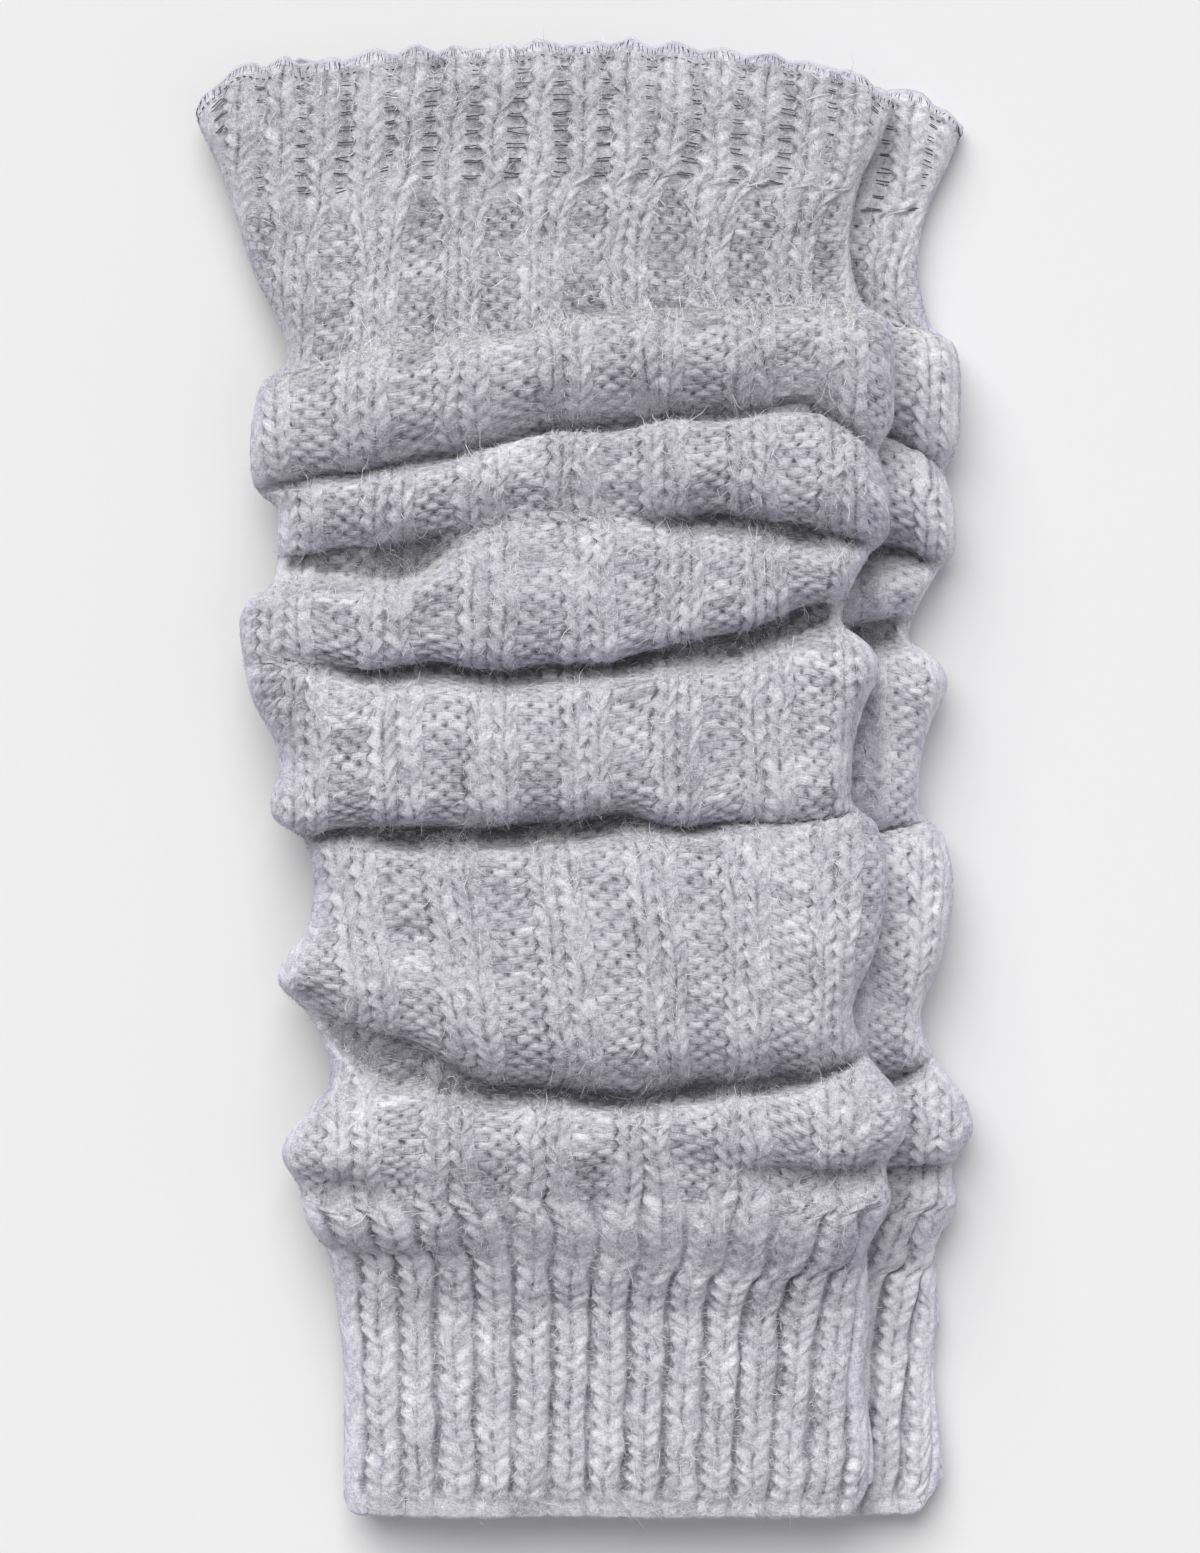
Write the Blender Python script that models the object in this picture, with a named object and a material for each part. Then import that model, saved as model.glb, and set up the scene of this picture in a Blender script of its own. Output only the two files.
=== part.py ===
"""A pair of rib-knit leg warmers, pushed down into soft rolls and laid flat, one on the other.

Each leg warmer is one knitted tube, open at both ends, in three stretches: an elastic
top band, the leg and an ankle cuff. It lies on its back, so its front and back walls lie
on each other. The tube is lofted through flattened rings that follow the folds across it.

+X is to the right, +Y is towards the top bands, +Z is up, and the lower leg warmer's
back rests on z = 0. Sizes below are in millimetres.
"""
import bmesh
import bpy
import numpy as np

MM = 0.001

# ---- driving sizes -------------------------------------------------------------------

WALL = 3.6                # thickness of the knitted cloth
SEAM_GAP = 0.36           # clearance between two stretches of the tube
REST_GAP = 0.4            # clearance between the two leg warmers
EDGE_ROUND = 9.0          # how far in from its outline the flattened tube rounds over
EDGE_POWER = 2.2          # roundness of that edge, 2 being an ellipse
EDGE_LEVEL = 0.46         # height of the outline, as a share of the front wall's height
INNER_GAP = 0.8           # least clearance inside, between the front wall and the back one
BACK_DIP = 1.1            # how far a crease lifts the back wall
CENTRE = (4.3, 1.65)      # moves the pair's middle over the origin

# Height of what each leg warmer rests on, down its length. The lower one lies on a flat
# surface, and the upper one on the lower one's band, crowns and cuff.
FLAT = (
    # y, height
    (185.0, 0.0), (-184.0, 0.0),
)
ON_THE_LOWER_ONE = (
    # y, height
    (185.0, 10.4), (172.0, 11.2), (130.0, 11.8), (113.0, 18.0), (104.0, 21.2),
    (-113.0, 21.2), (-123.0, 15.5), (-134.0, 11.8), (-172.0, 11.6), (-184.0, 10.6),
)

# How each leg warmer lies: its shift, its length against the tables below, what it rests
# on, its clearance there, and how much of that height its left side sinks where it hangs
# past the edge.
LYING = {
    "lower": {"shift": (18.0, -2.9), "length": 0.9895, "rest": FLAT, "gap": 0.0, "sink": 0.0},
    "upper": {"shift": (0.0, 0.0), "length": 1.0, "rest": ON_THE_LOWER_ONE,
              "gap": REST_GAP, "sink": 0.62},
}
SINK_REACH = 28.0         # width of the strip that sinks, from the left outline

# ---- the folds -----------------------------------------------------------------------

# Where the columns of the next tables stand, from the tube's left side to its right.
ACROSS_AT = (-75, -50, -25, 0, 25, 50, 75)

# Y of each line across the tube, from the top edge down to the bottom edge.
LINE_Y = {
    # line          -75    -50    -25      0     25     50     75
    "top_edge":  (176.0, 178.5, 180.0, 181.5, 179.5, 176.5, 170.5),
    "band_seam": (145.5, 146.0, 147.0, 148.0, 147.0, 146.0, 145.0),
    "crease_1":  (102.5, 106.5, 110.0, 114.5, 117.0, 116.5, 114.5),
    "crease_2":  (69.5,   75.0,  83.5,  86.0,  89.5,  90.0,  75.5),
    "crease_3":  (48.0,   49.0,  58.0,  63.5,  60.5,  60.0,  52.0),
    "crease_4":  (27.5,   24.0,  24.0,  25.0,  25.5,  39.0,  43.5),
    "crease_5":  (-17.0, -18.5, -17.5, -14.5, -11.0,  -8.0,  -5.5),
    "crease_6":  (-58.0, -66.0, -79.5, -80.0, -78.0, -73.5, -60.0),
    "crease_7":  (-103.5, -102.0, -100.5, -99.5, -97.0, -96.5, -97.0),
    "cuff_seam": (-117.0, -118.0, -119.5, -121.5, -123.0, -123.5, -119.5),
    "bottom_edge": (-183.5, -183.5, -183.5, -183.5, -183.5, -183.5, -183.5),
}

# Height of the front wall along each of those lines, above what the tube rests on.
LINE_HEIGHT = {
    # line        -75   -50   -25     0    25    50    75
    "top_edge":  (9.6,  9.8,  9.8,  9.8,  9.8,  9.8,  9.6),
    "band_seam": (10.2, 10.8, 11.0, 11.0, 11.0, 10.8, 10.2),
    "crease_1":  (9.5,  9.5,  9.0,  9.0,  9.0,  9.0,  9.5),
    "crease_2":  (11.0, 10.0, 11.0, 10.5, 11.0, 12.0, 12.0),
    "crease_3":  (11.0, 10.0, 13.5, 17.0,  9.5,  8.6, 11.0),
    "crease_4":  (16.0,  9.0,  8.6,  8.6,  8.6,  9.0, 12.0),
    "crease_5":  (11.0,  8.6,  8.6,  8.6, 11.5, 13.5, 13.0),
    "crease_6":  (11.0,  9.0,  8.8,  9.0, 10.0, 12.0, 15.0),
    "crease_7":  (11.0, 15.5, 17.5, 18.0, 17.5, 12.0,  9.0),
    "cuff_seam": (9.4,  9.6,  10.2, 10.8, 11.0, 11.0, 10.8),
    "bottom_edge": (9.8, 10.0, 10.0, 10.0, 10.0, 10.0, 9.8),
}

# The stretch of cloth below each of those lines: its crown height at the left, middle and
# right, and how far it takes to drop into the line above it and the line below it.
ROLL = {
    # roll          left  middle  right  reach_above  reach_below
    "top_band":    (10.2,  11.0,  10.2,   10.0,         4.0),
    "fan":         (10.4,  11.2,  10.8,    8.0,        14.0),
    "roll_1":      (20.0,  21.0,  21.0,    9.0,        13.0),
    "roll_2":      (17.0,  20.0,  20.0,    6.0,         9.0),
    "roll_3":      (20.0,  19.5,  18.5,    6.0,         8.0),
    "roll_4":      (19.0,  21.0,  19.5,    6.0,         8.0),
    "roll_5":      (18.5,  21.0,  20.0,    8.0,        14.0),
    "roll_6":      (18.5,  19.5,  20.0,    7.0,         8.0),
    "roll_7":      (17.0,  18.5,  18.0,    5.0,         9.0),
    "cuff":        (10.4,  11.2,  10.8,    9.0,        10.0),
}
ROLL_AT = (-75, 0, 75)    # where left, middle and right stand

# The outline: X of the left and right sides at each Y, in and out with the rolls.
LEFT_SIDE = (
    # y, x
    (170.0, -100.0), (166.0, -101.0), (152.0, -95.0), (127.5, -87.0), (103.5, -77.7),
    (96.5, -84.5), (80.5, -87.0), (73.0, -86.5), (65.5, -80.0), (48.0, -81.5),
    (43.0, -88.0), (38.5, -89.5), (21.5, -87.0), (3.5, -79.5), (-6.0, -82.0),
    (-10.0, -81.5), (-16.0, -73.5), (-28.0, -71.0), (-36.0, -72.0), (-50.5, -80.0),
    (-57.5, -74.0), (-64.0, -69.5), (-75.0, -67.0), (-82.0, -71.5), (-93.5, -79.0),
    (-103.0, -74.5), (-110.0, -73.3), (-118.0, -68.5), (-134.0, -65.5), (-150.0, -64.0),
    (-183.5, -64.0),
)
RIGHT_SIDE = (
    # y, x
    (170.0, 74.5), (160.5, 70.5), (146.0, 64.0), (133.0, 61.8), (118.0, 64.5),
    (112.0, 71.0), (104.0, 72.2), (88.0, 72.0), (79.5, 68.5), (70.0, 70.8),
    (60.5, 71.0), (54.0, 66.0), (43.5, 60.5), (38.0, 59.5), (32.0, 66.5),
    (26.5, 69.0), (16.5, 64.5), (5.0, 61.8), (-5.5, 61.5), (-12.0, 68.0),
    (-25.5, 70.5), (-43.0, 67.5), (-57.5, 62.0), (-68.5, 66.0), (-79.5, 74.0),
    (-86.0, 75.4), (-96.5, 70.5), (-104.0, 71.6), (-118.0, 66.0), (-134.0, 67.0),
    (-146.5, 65.5), (-171.5, 68.0), (-183.5, 67.0),
)

# The outline's corners: how far the ends curl in at each side, and over what width.
CORNERS = {
    # end          left (rise, width)     right (rise, width)
    "top_edge": ((11.0, 14.0), (7.0, 14.0)),
    "bottom_edge": ((2.5, 3.0), (8.0, 8.0)),
}

# ---- how finely the rings are cut ----------------------------------------------------

# Stations across the front wall, as shares of the half width from the middle.
RING_STATIONS = (-1.0, -0.97, -0.9, -0.72, -0.48, -0.24, 0.0, 0.24, 0.48, 0.72, 0.9, 0.97, 1.0)
# Rings along each stretch, from the line above it at 0 to the line below it at 1.
RINGS_ON_ROLL = (0.0, 0.13, 0.33, 0.67, 0.87)
RINGS_ON = {
    "top_band": (0.0, 0.33, 0.67),
    "fan": (0.0, 0.33, 0.6, 0.82),
    "cuff": (0.0, 0.17, 0.33, 0.5, 0.67, 0.85),
}

BESIDE_SEAM = 0.3         # how much of its slope along the tube a ring beside a seam keeps

PIECES = ("band", "leg", "cuff")
YARN = {
    # piece: base colour, roughness
    "band": ((0.47, 0.46, 0.51), 0.92),
    "leg": ((0.50, 0.49, 0.54), 0.92),
    "cuff": ((0.49, 0.48, 0.53), 0.92),
}
NODE_SHEEN = 0.5

LINES = list(LINE_Y)
ROLLS = list(ROLL)
BAND_END = LINES.index("band_seam")
CUFF_START = LINES.index("cuff_seam")


# ---- curves through the tables -------------------------------------------------------

def smooth_through(stations, values, at):
    """A curve through the values, with no overshoot between them, read at the points `at`."""
    x = np.asarray(stations, float)
    y = np.asarray(values, float)
    step = np.diff(x)
    slope = np.diff(y) / step
    tangent = np.zeros_like(y)
    turning = slope[:-1] * slope[1:] <= 0
    weight_a = 2 * step[1:] + step[:-1]
    weight_b = step[1:] + 2 * step[:-1]
    safe = np.where(turning, 1.0, slope[:-1]), np.where(turning, 1.0, slope[1:])
    harmonic = (weight_a + weight_b) / (weight_a / safe[0] + weight_b / safe[1])
    tangent[1:-1] = np.where(turning, 0.0, harmonic)
    tangent[0], tangent[-1] = slope[0], slope[-1]
    at = np.clip(np.asarray(at, float), x[0], x[-1])
    i = np.clip(np.searchsorted(x, at) - 1, 0, len(step) - 1)
    t = (at - x[i]) / step[i]
    return (y[i] * (1 + 2 * t) * (1 - t) ** 2 + y[i + 1] * t * t * (3 - 2 * t)
            + step[i] * t * (1 - t) * ((1 - t) * tangent[i] - t * tangent[i + 1]))


def table_value(table, y):
    """The second column of a table of (y, value) rows, read at y."""
    rows = sorted(table)
    return smooth_through([row[0] for row in rows], [row[1] for row in rows], y)


def line_value(table, line, x):
    """A table's value for one line across the tube, read at x."""
    return smooth_through(ACROSS_AT, table[LINES[line]], x)


def corner_rise(x, y, end):
    """How far an end's edge curls in near the outline's corners."""
    rise = 0.0
    for side, sign, (height, width) in zip((LEFT_SIDE, RIGHT_SIDE), (1, -1), CORNERS[end]):
        inside = np.clip(sign * (x - table_value(side, y)) / width, 0, 1)
        rise = rise + height * (1 - np.sqrt(np.clip(1 - (1 - inside) ** 2, 0, 1)))
    return rise


# ---- the form of one tube ------------------------------------------------------------

def drop(share):
    """Fall from a roll's crown: 0 at the crown, 1 in the crease, round like a quarter circle."""
    return 1 - np.sqrt(np.clip(1 - np.clip(1 - share, 0, 1) ** 2, 0, 1))


def along_roll(x, line, part):
    """Y and front height at x, a part (0 to 1) of the way from one line to the next."""
    above = line_value(LINE_Y, line, x)
    below = line_value(LINE_Y, line + 1, x)
    if line == 0:
        above = above - corner_rise(x, above, "top_edge")
    if line + 1 == len(LINES) - 1:
        below = below + corner_rise(x, below, "bottom_edge")
    left, middle, right, reach_above, reach_below = ROLL[ROLLS[line]]
    length = above - below
    squeeze = np.minimum(1.0, length / (reach_above + reach_below + 2.0))
    reach_above = reach_above * squeeze
    reach_below = reach_below * squeeze
    start = np.clip(3 * part, 0, 1) ** 2
    end = np.clip(3 * (1 - part), 0, 1) ** 2
    flat = np.clip(3 * part - 1, 0, 1)
    middle_y = reach_above + (length - reach_above - reach_below) * flat
    from_above = np.where(part < 1 / 3, reach_above * start, middle_y)
    from_above = np.where(part > 2 / 3, length - reach_below * end, from_above)
    crown = smooth_through(ROLL_AT, (left, middle, right), x)
    height = (crown
              - (crown - line_value(LINE_HEIGHT, line, x)) * drop(from_above / reach_above)
              - (crown - line_value(LINE_HEIGHT, line + 1, x))
              * drop((length - from_above) / reach_below))
    return above - from_above, height, crown


def tube_point(across, line, part, front, lying):
    """A point on the tube's outer surface.

    across runs from -1 at the left side to 1 at the right, and line and part say how far
    down the tube it is. front is 1 for the front wall and 0 for the back one.
    """
    x = 70.0 * across
    for _ in range(6):
        y, height, crown = along_roll(x, line, part)
        left = table_value(LEFT_SIDE, y)
        right = table_value(RIGHT_SIDE, y)
        x = (left + right) / 2 + across * (right - left) / 2
    from_left = x - left
    inside = np.clip(np.minimum(from_left, right - x) / EDGE_ROUND, 0, 1)
    rounding = (1 - (1 - inside) ** EDGE_POWER) ** (1 / EDGE_POWER)
    side_height = EDGE_LEVEL * height
    back_height = BACK_DIP * np.clip((crown - height) / 8.0, 0, 1)
    wall_height = np.where(front > 0.5, height, back_height)
    z = side_height + (wall_height - side_height) * rounding
    rest = table_value(lying["rest"], y)
    sink = lying["sink"] * rest * np.clip(1 - from_left / SINK_REACH, 0, 1) ** 2
    return np.stack([
        x + lying["shift"][0] + CENTRE[0],
        y * lying["length"] + lying["shift"][1] + CENTRE[1],
        z + rest + lying["gap"] - sink,
    ], axis=-1)


def ring_coordinates():
    """Once round a ring: the place across, and whether that is on the front wall."""
    front = list(RING_STATIONS)
    back = list(RING_STATIONS[-2:0:-1])
    across = np.array(front + back)
    on_front = np.array([1.0] * len(front) + [0.0] * len(back))
    return across, on_front


def outer_ring(line, part, lying):
    across, on_front = ring_coordinates()
    return tube_point(across, line, part, on_front, lying)


def unit(vectors):
    return vectors / np.linalg.norm(vectors, axis=-1, keepdims=True)


def ring_grid(lying):
    """The whole tube's outer points, ring by ring, and where each ring stands."""
    stations = []
    for line, name in enumerate(ROLLS):
        stations += [(line, part) for part in RINGS_ON.get(name, RINGS_ON_ROLL)]
    stations.append((len(ROLLS) - 1, 1.0))
    return np.array([outer_ring(line, part, lying) for line, part in stations]), stations


def outward(outer_all):
    """Outward directions of a grid of rings that closes round each ring."""
    along = np.gradient(outer_all, axis=0)
    around = np.roll(outer_all, -1, axis=1) - np.roll(outer_all, 1, axis=1)
    return unit(np.cross(along, around))


def tube_walls(lying):
    """Each piece's outer and inner rings, cut from one continuous tube."""
    outer, stations = ring_grid(lying)
    cuts = [0, stations.index((BAND_END, 0.0)), stations.index((CUFF_START, 0.0)),
            len(stations) - 1]
    direction = outward(outer)
    for ring in cuts[1:-1]:
        direction[[ring - 1, ring + 1], :, 1] *= BESIDE_SEAM
    direction[cuts, :, 1] = 0.0
    inner = keep_open(outer - WALL * unit(direction))
    walls = {}
    for piece, start, end in zip(PIECES, cuts[:-1], cuts[1:]):
        rings = [outer[start:end + 1].copy(), inner[start:end + 1].copy()]
        for grid in rings:
            if start > 0:
                grid[0, :, 1] -= SEAM_GAP / 2
            if end < len(stations) - 1:
                grid[-1, :, 1] += SEAM_GAP / 2
        walls[piece] = rings
    return walls


def keep_open(inner):
    """The inner points, with the front wall kept clear of the back one."""
    count = len(RING_STATIONS)
    front = inner[:, 1:count - 1]
    back = inner[:, :count - 1:-1]
    middle = (front[..., 2] + back[..., 2]) / 2
    front[..., 2] = np.maximum(front[..., 2], middle + INNER_GAP / 2)
    back[..., 2] = np.minimum(back[..., 2], middle - INNER_GAP / 2)
    return inner


# ---- meshes --------------------------------------------------------------------------

def wall_mesh(name, outer, inner):
    """A closed wall: the outer rings, the inner rings and a rim at each end."""
    mesh = bmesh.new()
    rings, around = outer.shape[:2]
    outside, inside = [
        [[mesh.verts.new(point * MM) for point in ring] for ring in grid]
        for grid in (outer, inner)
    ]

    def band_between(first, second):
        """Two triangles for each step round two rings, always split the same way."""
        for j in range(around):
            k = (j + 1) % around
            mesh.faces.new((first[j], second[k], first[k]))
            mesh.faces.new((first[j], second[j], second[k]))

    for i in range(rings - 1):
        band_between(outside[i], outside[i + 1])
        band_between(inside[i], inside[i + 1])
    band_between(outside[0], inside[0])
    band_between(outside[-1], inside[-1])
    bmesh.ops.recalc_face_normals(mesh, faces=mesh.faces[:])
    data = bpy.data.meshes.new(name)
    mesh.to_mesh(data)
    mesh.free()
    return data


def yarn_material(name, colour, roughness):
    material = bpy.data.materials.new(name)
    material.use_nodes = True
    shader = material.node_tree.nodes["Principled BSDF"]
    shader.inputs["Base Color"].default_value = (*colour, 1.0)
    shader.inputs["Roughness"].default_value = roughness
    shader.inputs["Metallic"].default_value = 0.0
    shader.inputs["Sheen Weight"].default_value = NODE_SHEEN
    return material


def leg_warmer(which):
    """The three stretches of one leg warmer, each its own object."""
    for piece, (outer, inner) in tube_walls(LYING[which]).items():
        name = f"{which}_{piece}"
        data = wall_mesh(name, outer, inner)
        data.materials.append(yarn_material(f"{name}_yarn", *YARN[piece]))
        data.shade_smooth()
        bpy.context.scene.collection.objects.link(bpy.data.objects.new(name, data))


for thing in list(bpy.data.objects):
    bpy.data.objects.remove(thing)
for which in LYING:
    leg_warmer(which)
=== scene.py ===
"""The looks of a pair of slouched rib-knit leg warmers, laid flat, one on the other.

Each leg warmer is one knitted tube of felted wool: a 1x1 ribbed band with elastic threads,
a 2x2 ribbed leg pushed down into rolls, and a 1x1 ribbed cuff. The cloth is a grid that
follows its stitches. Its columns run along the wales, four to a leg of a knit stitch, and
its lines run along the courses, six to a course, so each stitch is real relief.

Sizes are in millimetres, +X is to the right, +Y towards the bands and +Z up.
"""

import bpy
import numpy as np
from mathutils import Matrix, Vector


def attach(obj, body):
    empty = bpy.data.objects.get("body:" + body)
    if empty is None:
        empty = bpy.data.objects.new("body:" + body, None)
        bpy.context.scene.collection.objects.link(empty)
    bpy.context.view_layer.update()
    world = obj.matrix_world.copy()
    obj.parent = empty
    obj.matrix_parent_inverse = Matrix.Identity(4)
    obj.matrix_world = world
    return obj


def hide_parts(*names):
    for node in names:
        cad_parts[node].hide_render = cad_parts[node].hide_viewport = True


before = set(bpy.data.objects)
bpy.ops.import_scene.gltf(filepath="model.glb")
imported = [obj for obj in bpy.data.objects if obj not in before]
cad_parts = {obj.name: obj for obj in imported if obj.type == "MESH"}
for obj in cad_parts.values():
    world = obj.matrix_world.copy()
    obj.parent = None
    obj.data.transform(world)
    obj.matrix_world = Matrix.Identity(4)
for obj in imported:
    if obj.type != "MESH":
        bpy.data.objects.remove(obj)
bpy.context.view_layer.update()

MM = 0.001

# ---- the form, as in the CAD part ----------------------------------------------------

EDGE_ROUND = 9.0          # how far in from its outline the flattened tube rounds over
EDGE_POWER = 2.2          # roundness of that edge, 2 being an ellipse
EDGE_LEVEL = 0.46         # height of the outline, as a share of the front wall's height
BACK_DIP = 1.1            # how far a crease lifts the back wall
CENTRE = (4.3, 1.65)      # moves the pair's middle over the origin

# Height of what each leg warmer rests on, down its length.
FLAT = (
    # y, height
    (185.0, 0.0), (-184.0, 0.0),
)
ON_THE_LOWER_ONE = (
    # y, height
    (185.0, 10.4), (172.0, 11.2), (130.0, 11.8), (113.0, 18.0), (104.0, 21.2),
    (-96.0, 21.2), (-104.0, 19.4), (-113.0, 17.6), (-123.0, 15.0), (-134.0, 11.8),
    (-172.0, 11.6), (-184.0, 10.6),
)

# How each leg warmer lies. "turn" is how many stitches it is turned about its length,
# "seed" starts its own unevenness, and the last entry is how much paler its wool is made:
# painted light that lifts the lower one out of the shade that the upper one casts on it.
LYING = {
    "lower": {"shift": (18.0, -2.9), "length": 0.9895, "rest": FLAT, "gap": 0.0,
              "sink": 0.0, "turn": -1.3, "seed": 11, "painted_light": 0.25},
    "upper": {"shift": (0.0, 0.0), "length": 1.0, "rest": ON_THE_LOWER_ONE, "gap": 0.4,
              "sink": 0.62, "turn": 0.0, "seed": 23, "painted_light": 0.0},
}
SINK_REACH = 28.0         # width of the strip that sinks, from the left outline

# Where the columns of the next tables stand, from the tube's left side to its right.
ACROSS_AT = (-75, -50, -25, 0, 25, 50, 75)

# Y of each line across the tube, from the top edge down to the bottom edge.
LINE_Y = {
    # line          -75    -50    -25      0     25     50     75
    "top_edge":  (176.0, 178.5, 180.0, 181.5, 179.5, 176.5, 170.5),
    "band_seam": (143.5, 145.3, 147.0, 148.0, 147.3, 146.0, 144.5),
    "crease_1":  (102.5, 106.5, 110.0, 114.5, 117.0, 116.5, 114.5),
    "crease_2":  (71.5,   77.0,  83.5,  87.5,  90.5,  91.0,  76.0),
    "crease_3":  (54.0,   57.5,  61.0,  63.5,  63.0,  61.5,  53.0),
    "crease_4":  (27.5,   26.0,  26.0,  27.5,  32.5,  41.0,  45.0),
    "crease_5":  (-14.5, -13.0, -11.5, -10.5, -11.5, -11.0,  -6.5),
    "crease_6":  (-58.0, -64.0, -75.0, -76.0, -74.5, -72.5, -62.0),
    "crease_7":  (-103.5, -102.0, -100.5, -99.5, -97.0, -96.5, -97.0),
    "cuff_seam": (-117.0, -118.0, -119.5, -121.5, -123.0, -123.5, -119.5),
    "bottom_edge": (-183.5, -183.5, -183.5, -183.5, -183.5, -183.5, -183.5),
}

# Height of the front wall along each of those lines, above what the tube rests on.
LINE_HEIGHT = {
    # line        -75   -50   -25     0    25    50    75
    "top_edge":  (9.6,  9.8,  9.8,  9.8,  9.8,  9.8,  9.6),
    "band_seam": (10.2, 10.8, 11.0, 11.0, 11.0, 10.8, 10.2),
    "crease_1":  (9.5,  9.5,  9.0,  9.0,  9.0,  9.0,  9.5),
    "crease_2":  (11.0, 10.0, 10.5, 11.0, 11.0, 11.5, 13.0),
    "crease_3":  (10.0,  9.0, 15.5, 17.6,  9.0,  8.6, 11.0),
    "crease_4":  (18.0,  9.0,  8.6,  8.6,  8.6,  9.0, 12.0),
    "crease_5":  (11.0,  8.6,  8.6,  8.6, 12.5, 14.5, 13.0),
    "crease_6":  (11.0, 11.6,  8.6,  8.6,  8.8, 10.0, 15.0),
    "crease_7":  (13.5, 16.6, 17.3, 17.4, 17.4, 11.5,  9.5),
    "cuff_seam": (9.4,  10.4, 12.8, 13.4, 13.2, 12.2, 11.0),
    "bottom_edge": (9.8, 10.0, 10.0, 10.0, 10.0, 10.0, 9.8),
}

# How far the foot of each crease runs up under the roll above it, or down under the next.
# Lines that aren't in this table or the next one have none.
CREASE_LEAN = {
    # line       -75   -50   -25     0    25    50    75
    "crease_1": (-1.0, -1.5, -2.0, -2.0, -2.0, -1.5, -1.0),
    "crease_2":  (1.0,  0.0, -1.0, -1.5, -1.5, -1.0,  0.0),
    "crease_3":  (1.0,  0.5,  0.0,  0.0,  1.0,  1.0,  1.0),
    "crease_4":  (0.5,  1.0,  1.5,  1.5,  1.5,  1.0,  1.0),
    "crease_5":  (1.0,  0.5,  0.0,  0.0,  0.5,  0.0,  0.0),
    "crease_6":  (0.0,  0.5, -1.0, -2.0, -2.0, -1.5,  0.0),
    "crease_7":  (0.5,  0.0,  0.0,  0.0,  0.5,  2.0,  3.0),
    "cuff_seam": (0.5,  0.5,  0.5,  0.5,  0.5,  0.5,  0.5),
}

# How wide the floor of each crease lies open, below its line.
CREASE_GAP = {
    # line       -75   -50   -25     0    25    50    75
    "crease_2":  (1.5,  2.0,  2.0,  2.0,  2.0,  1.5,  0.5),
    "crease_3":  (5.0, 10.0,  1.0,  0.0,  4.0,  4.5,  1.5),
    "crease_4":  (0.0,  3.0,  4.0,  4.0,  6.5,  7.5,  2.0),
    "crease_5":  (1.0,  5.0,  6.0,  4.5,  1.5,  0.5,  0.0),
    "crease_6":  (0.0, 13.0,  5.0,  4.5,  4.0,  3.0,  0.0),
    "crease_7":  (0.0,  0.0,  0.0,  0.0,  0.0,  4.0,  4.0),
}

# The stretch of cloth below each of those lines: its crown height at the left, middle and
# right, how far it takes to drop into the line above it and the line below it, and how
# much its middle stands up.
ROLL = {
    # roll          left  middle  right  reach_above  reach_below  arch
    "top_band":    (10.2,  11.0,  10.2,   10.0,         4.0,       0.0),
    "fan":         (10.4,  11.2,  10.8,    8.0,        14.0,       0.8),
    "roll_1":      (20.0,  21.0,  21.0,   10.0,        16.0,       1.4),
    "roll_2":      (17.0,  20.0,  20.0,    4.0,        13.0,       1.6),
    "roll_3":      (20.0,  19.5,  18.5,    7.0,         6.0,       1.2),
    "roll_4":      (19.0,  21.0,  19.5,    3.5,         7.0,       1.6),
    "roll_5":      (18.5,  21.0,  20.0,    3.5,        13.0,       2.0),
    "roll_6":      (18.5,  19.5,  20.0,    2.6,        10.0,       1.4),
    "roll_7":      (17.0,  16.2,  16.2,    5.0,        15.0,       0.8),
    "cuff":        (10.4,  11.2,  10.8,   12.0,        10.0,       0.4),
}
ROLL_AT = (-75, 0, 75)    # where left, middle and right stand
LEAST_CROWN = 2.0         # mm that a roll keeps between its two slopes, where it is short

# The small unevenness of each line: two waves across the tube.
WAVES = (
    # height, mm to a radian, turn for each line and for each seed
    (0.55, 8.7, 1.7, 1.0),
    (0.40, 4.9, 2.9, 2.0),
)

# The outline: X of the left and right sides at each Y, in and out with the rolls.
LEFT_SIDE = (
    # y, x
    (170.0, -100.0), (166.0, -101.0), (152.0, -95.0), (127.5, -87.0), (103.5, -77.7),
    (96.5, -84.5), (80.5, -87.0), (73.0, -86.5), (65.5, -80.0), (48.0, -81.5),
    (43.0, -88.0), (38.5, -89.5), (21.5, -87.0), (3.5, -79.5), (-6.0, -82.0),
    (-10.0, -81.5), (-16.0, -73.5), (-28.0, -71.0), (-36.0, -72.0), (-50.5, -80.0),
    (-57.5, -74.0), (-64.0, -69.5), (-75.0, -67.0), (-82.0, -71.5), (-93.5, -79.0),
    (-103.0, -74.5), (-110.0, -73.3), (-118.0, -68.5), (-134.0, -65.5), (-150.0, -64.0),
    (-183.5, -64.0),
)
RIGHT_SIDE = (
    # y, x
    (170.0, 74.5), (160.5, 70.5), (146.0, 64.0), (133.0, 61.8), (118.0, 64.5),
    (112.0, 71.0), (104.0, 72.2), (88.0, 72.0), (79.5, 68.5), (70.0, 70.8),
    (60.5, 71.0), (54.0, 66.0), (43.5, 60.5), (38.0, 59.5), (32.0, 66.5),
    (26.5, 69.0), (16.5, 64.5), (5.0, 61.8), (-5.5, 61.5), (-12.0, 68.0),
    (-25.5, 70.5), (-43.0, 67.5), (-57.5, 62.0), (-68.5, 66.0), (-79.5, 74.0),
    (-86.0, 75.4), (-96.5, 70.5), (-104.0, 71.6), (-118.0, 66.0), (-134.0, 67.0),
    (-146.5, 65.5), (-171.5, 68.0), (-183.5, 67.0),
)

CORNER_POWER = 2.4        # how sharply the corners of the next table turn
# The outline's corners: how far the ends curl in at each side, and over what width.
CORNERS = {
    # end          left (rise, width)     right (rise, width)
    "top_edge": ((9.5, 15.0), (7.0, 15.0)),
    "bottom_edge": ((2.5, 3.0), (8.0, 8.0)),
}

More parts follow.
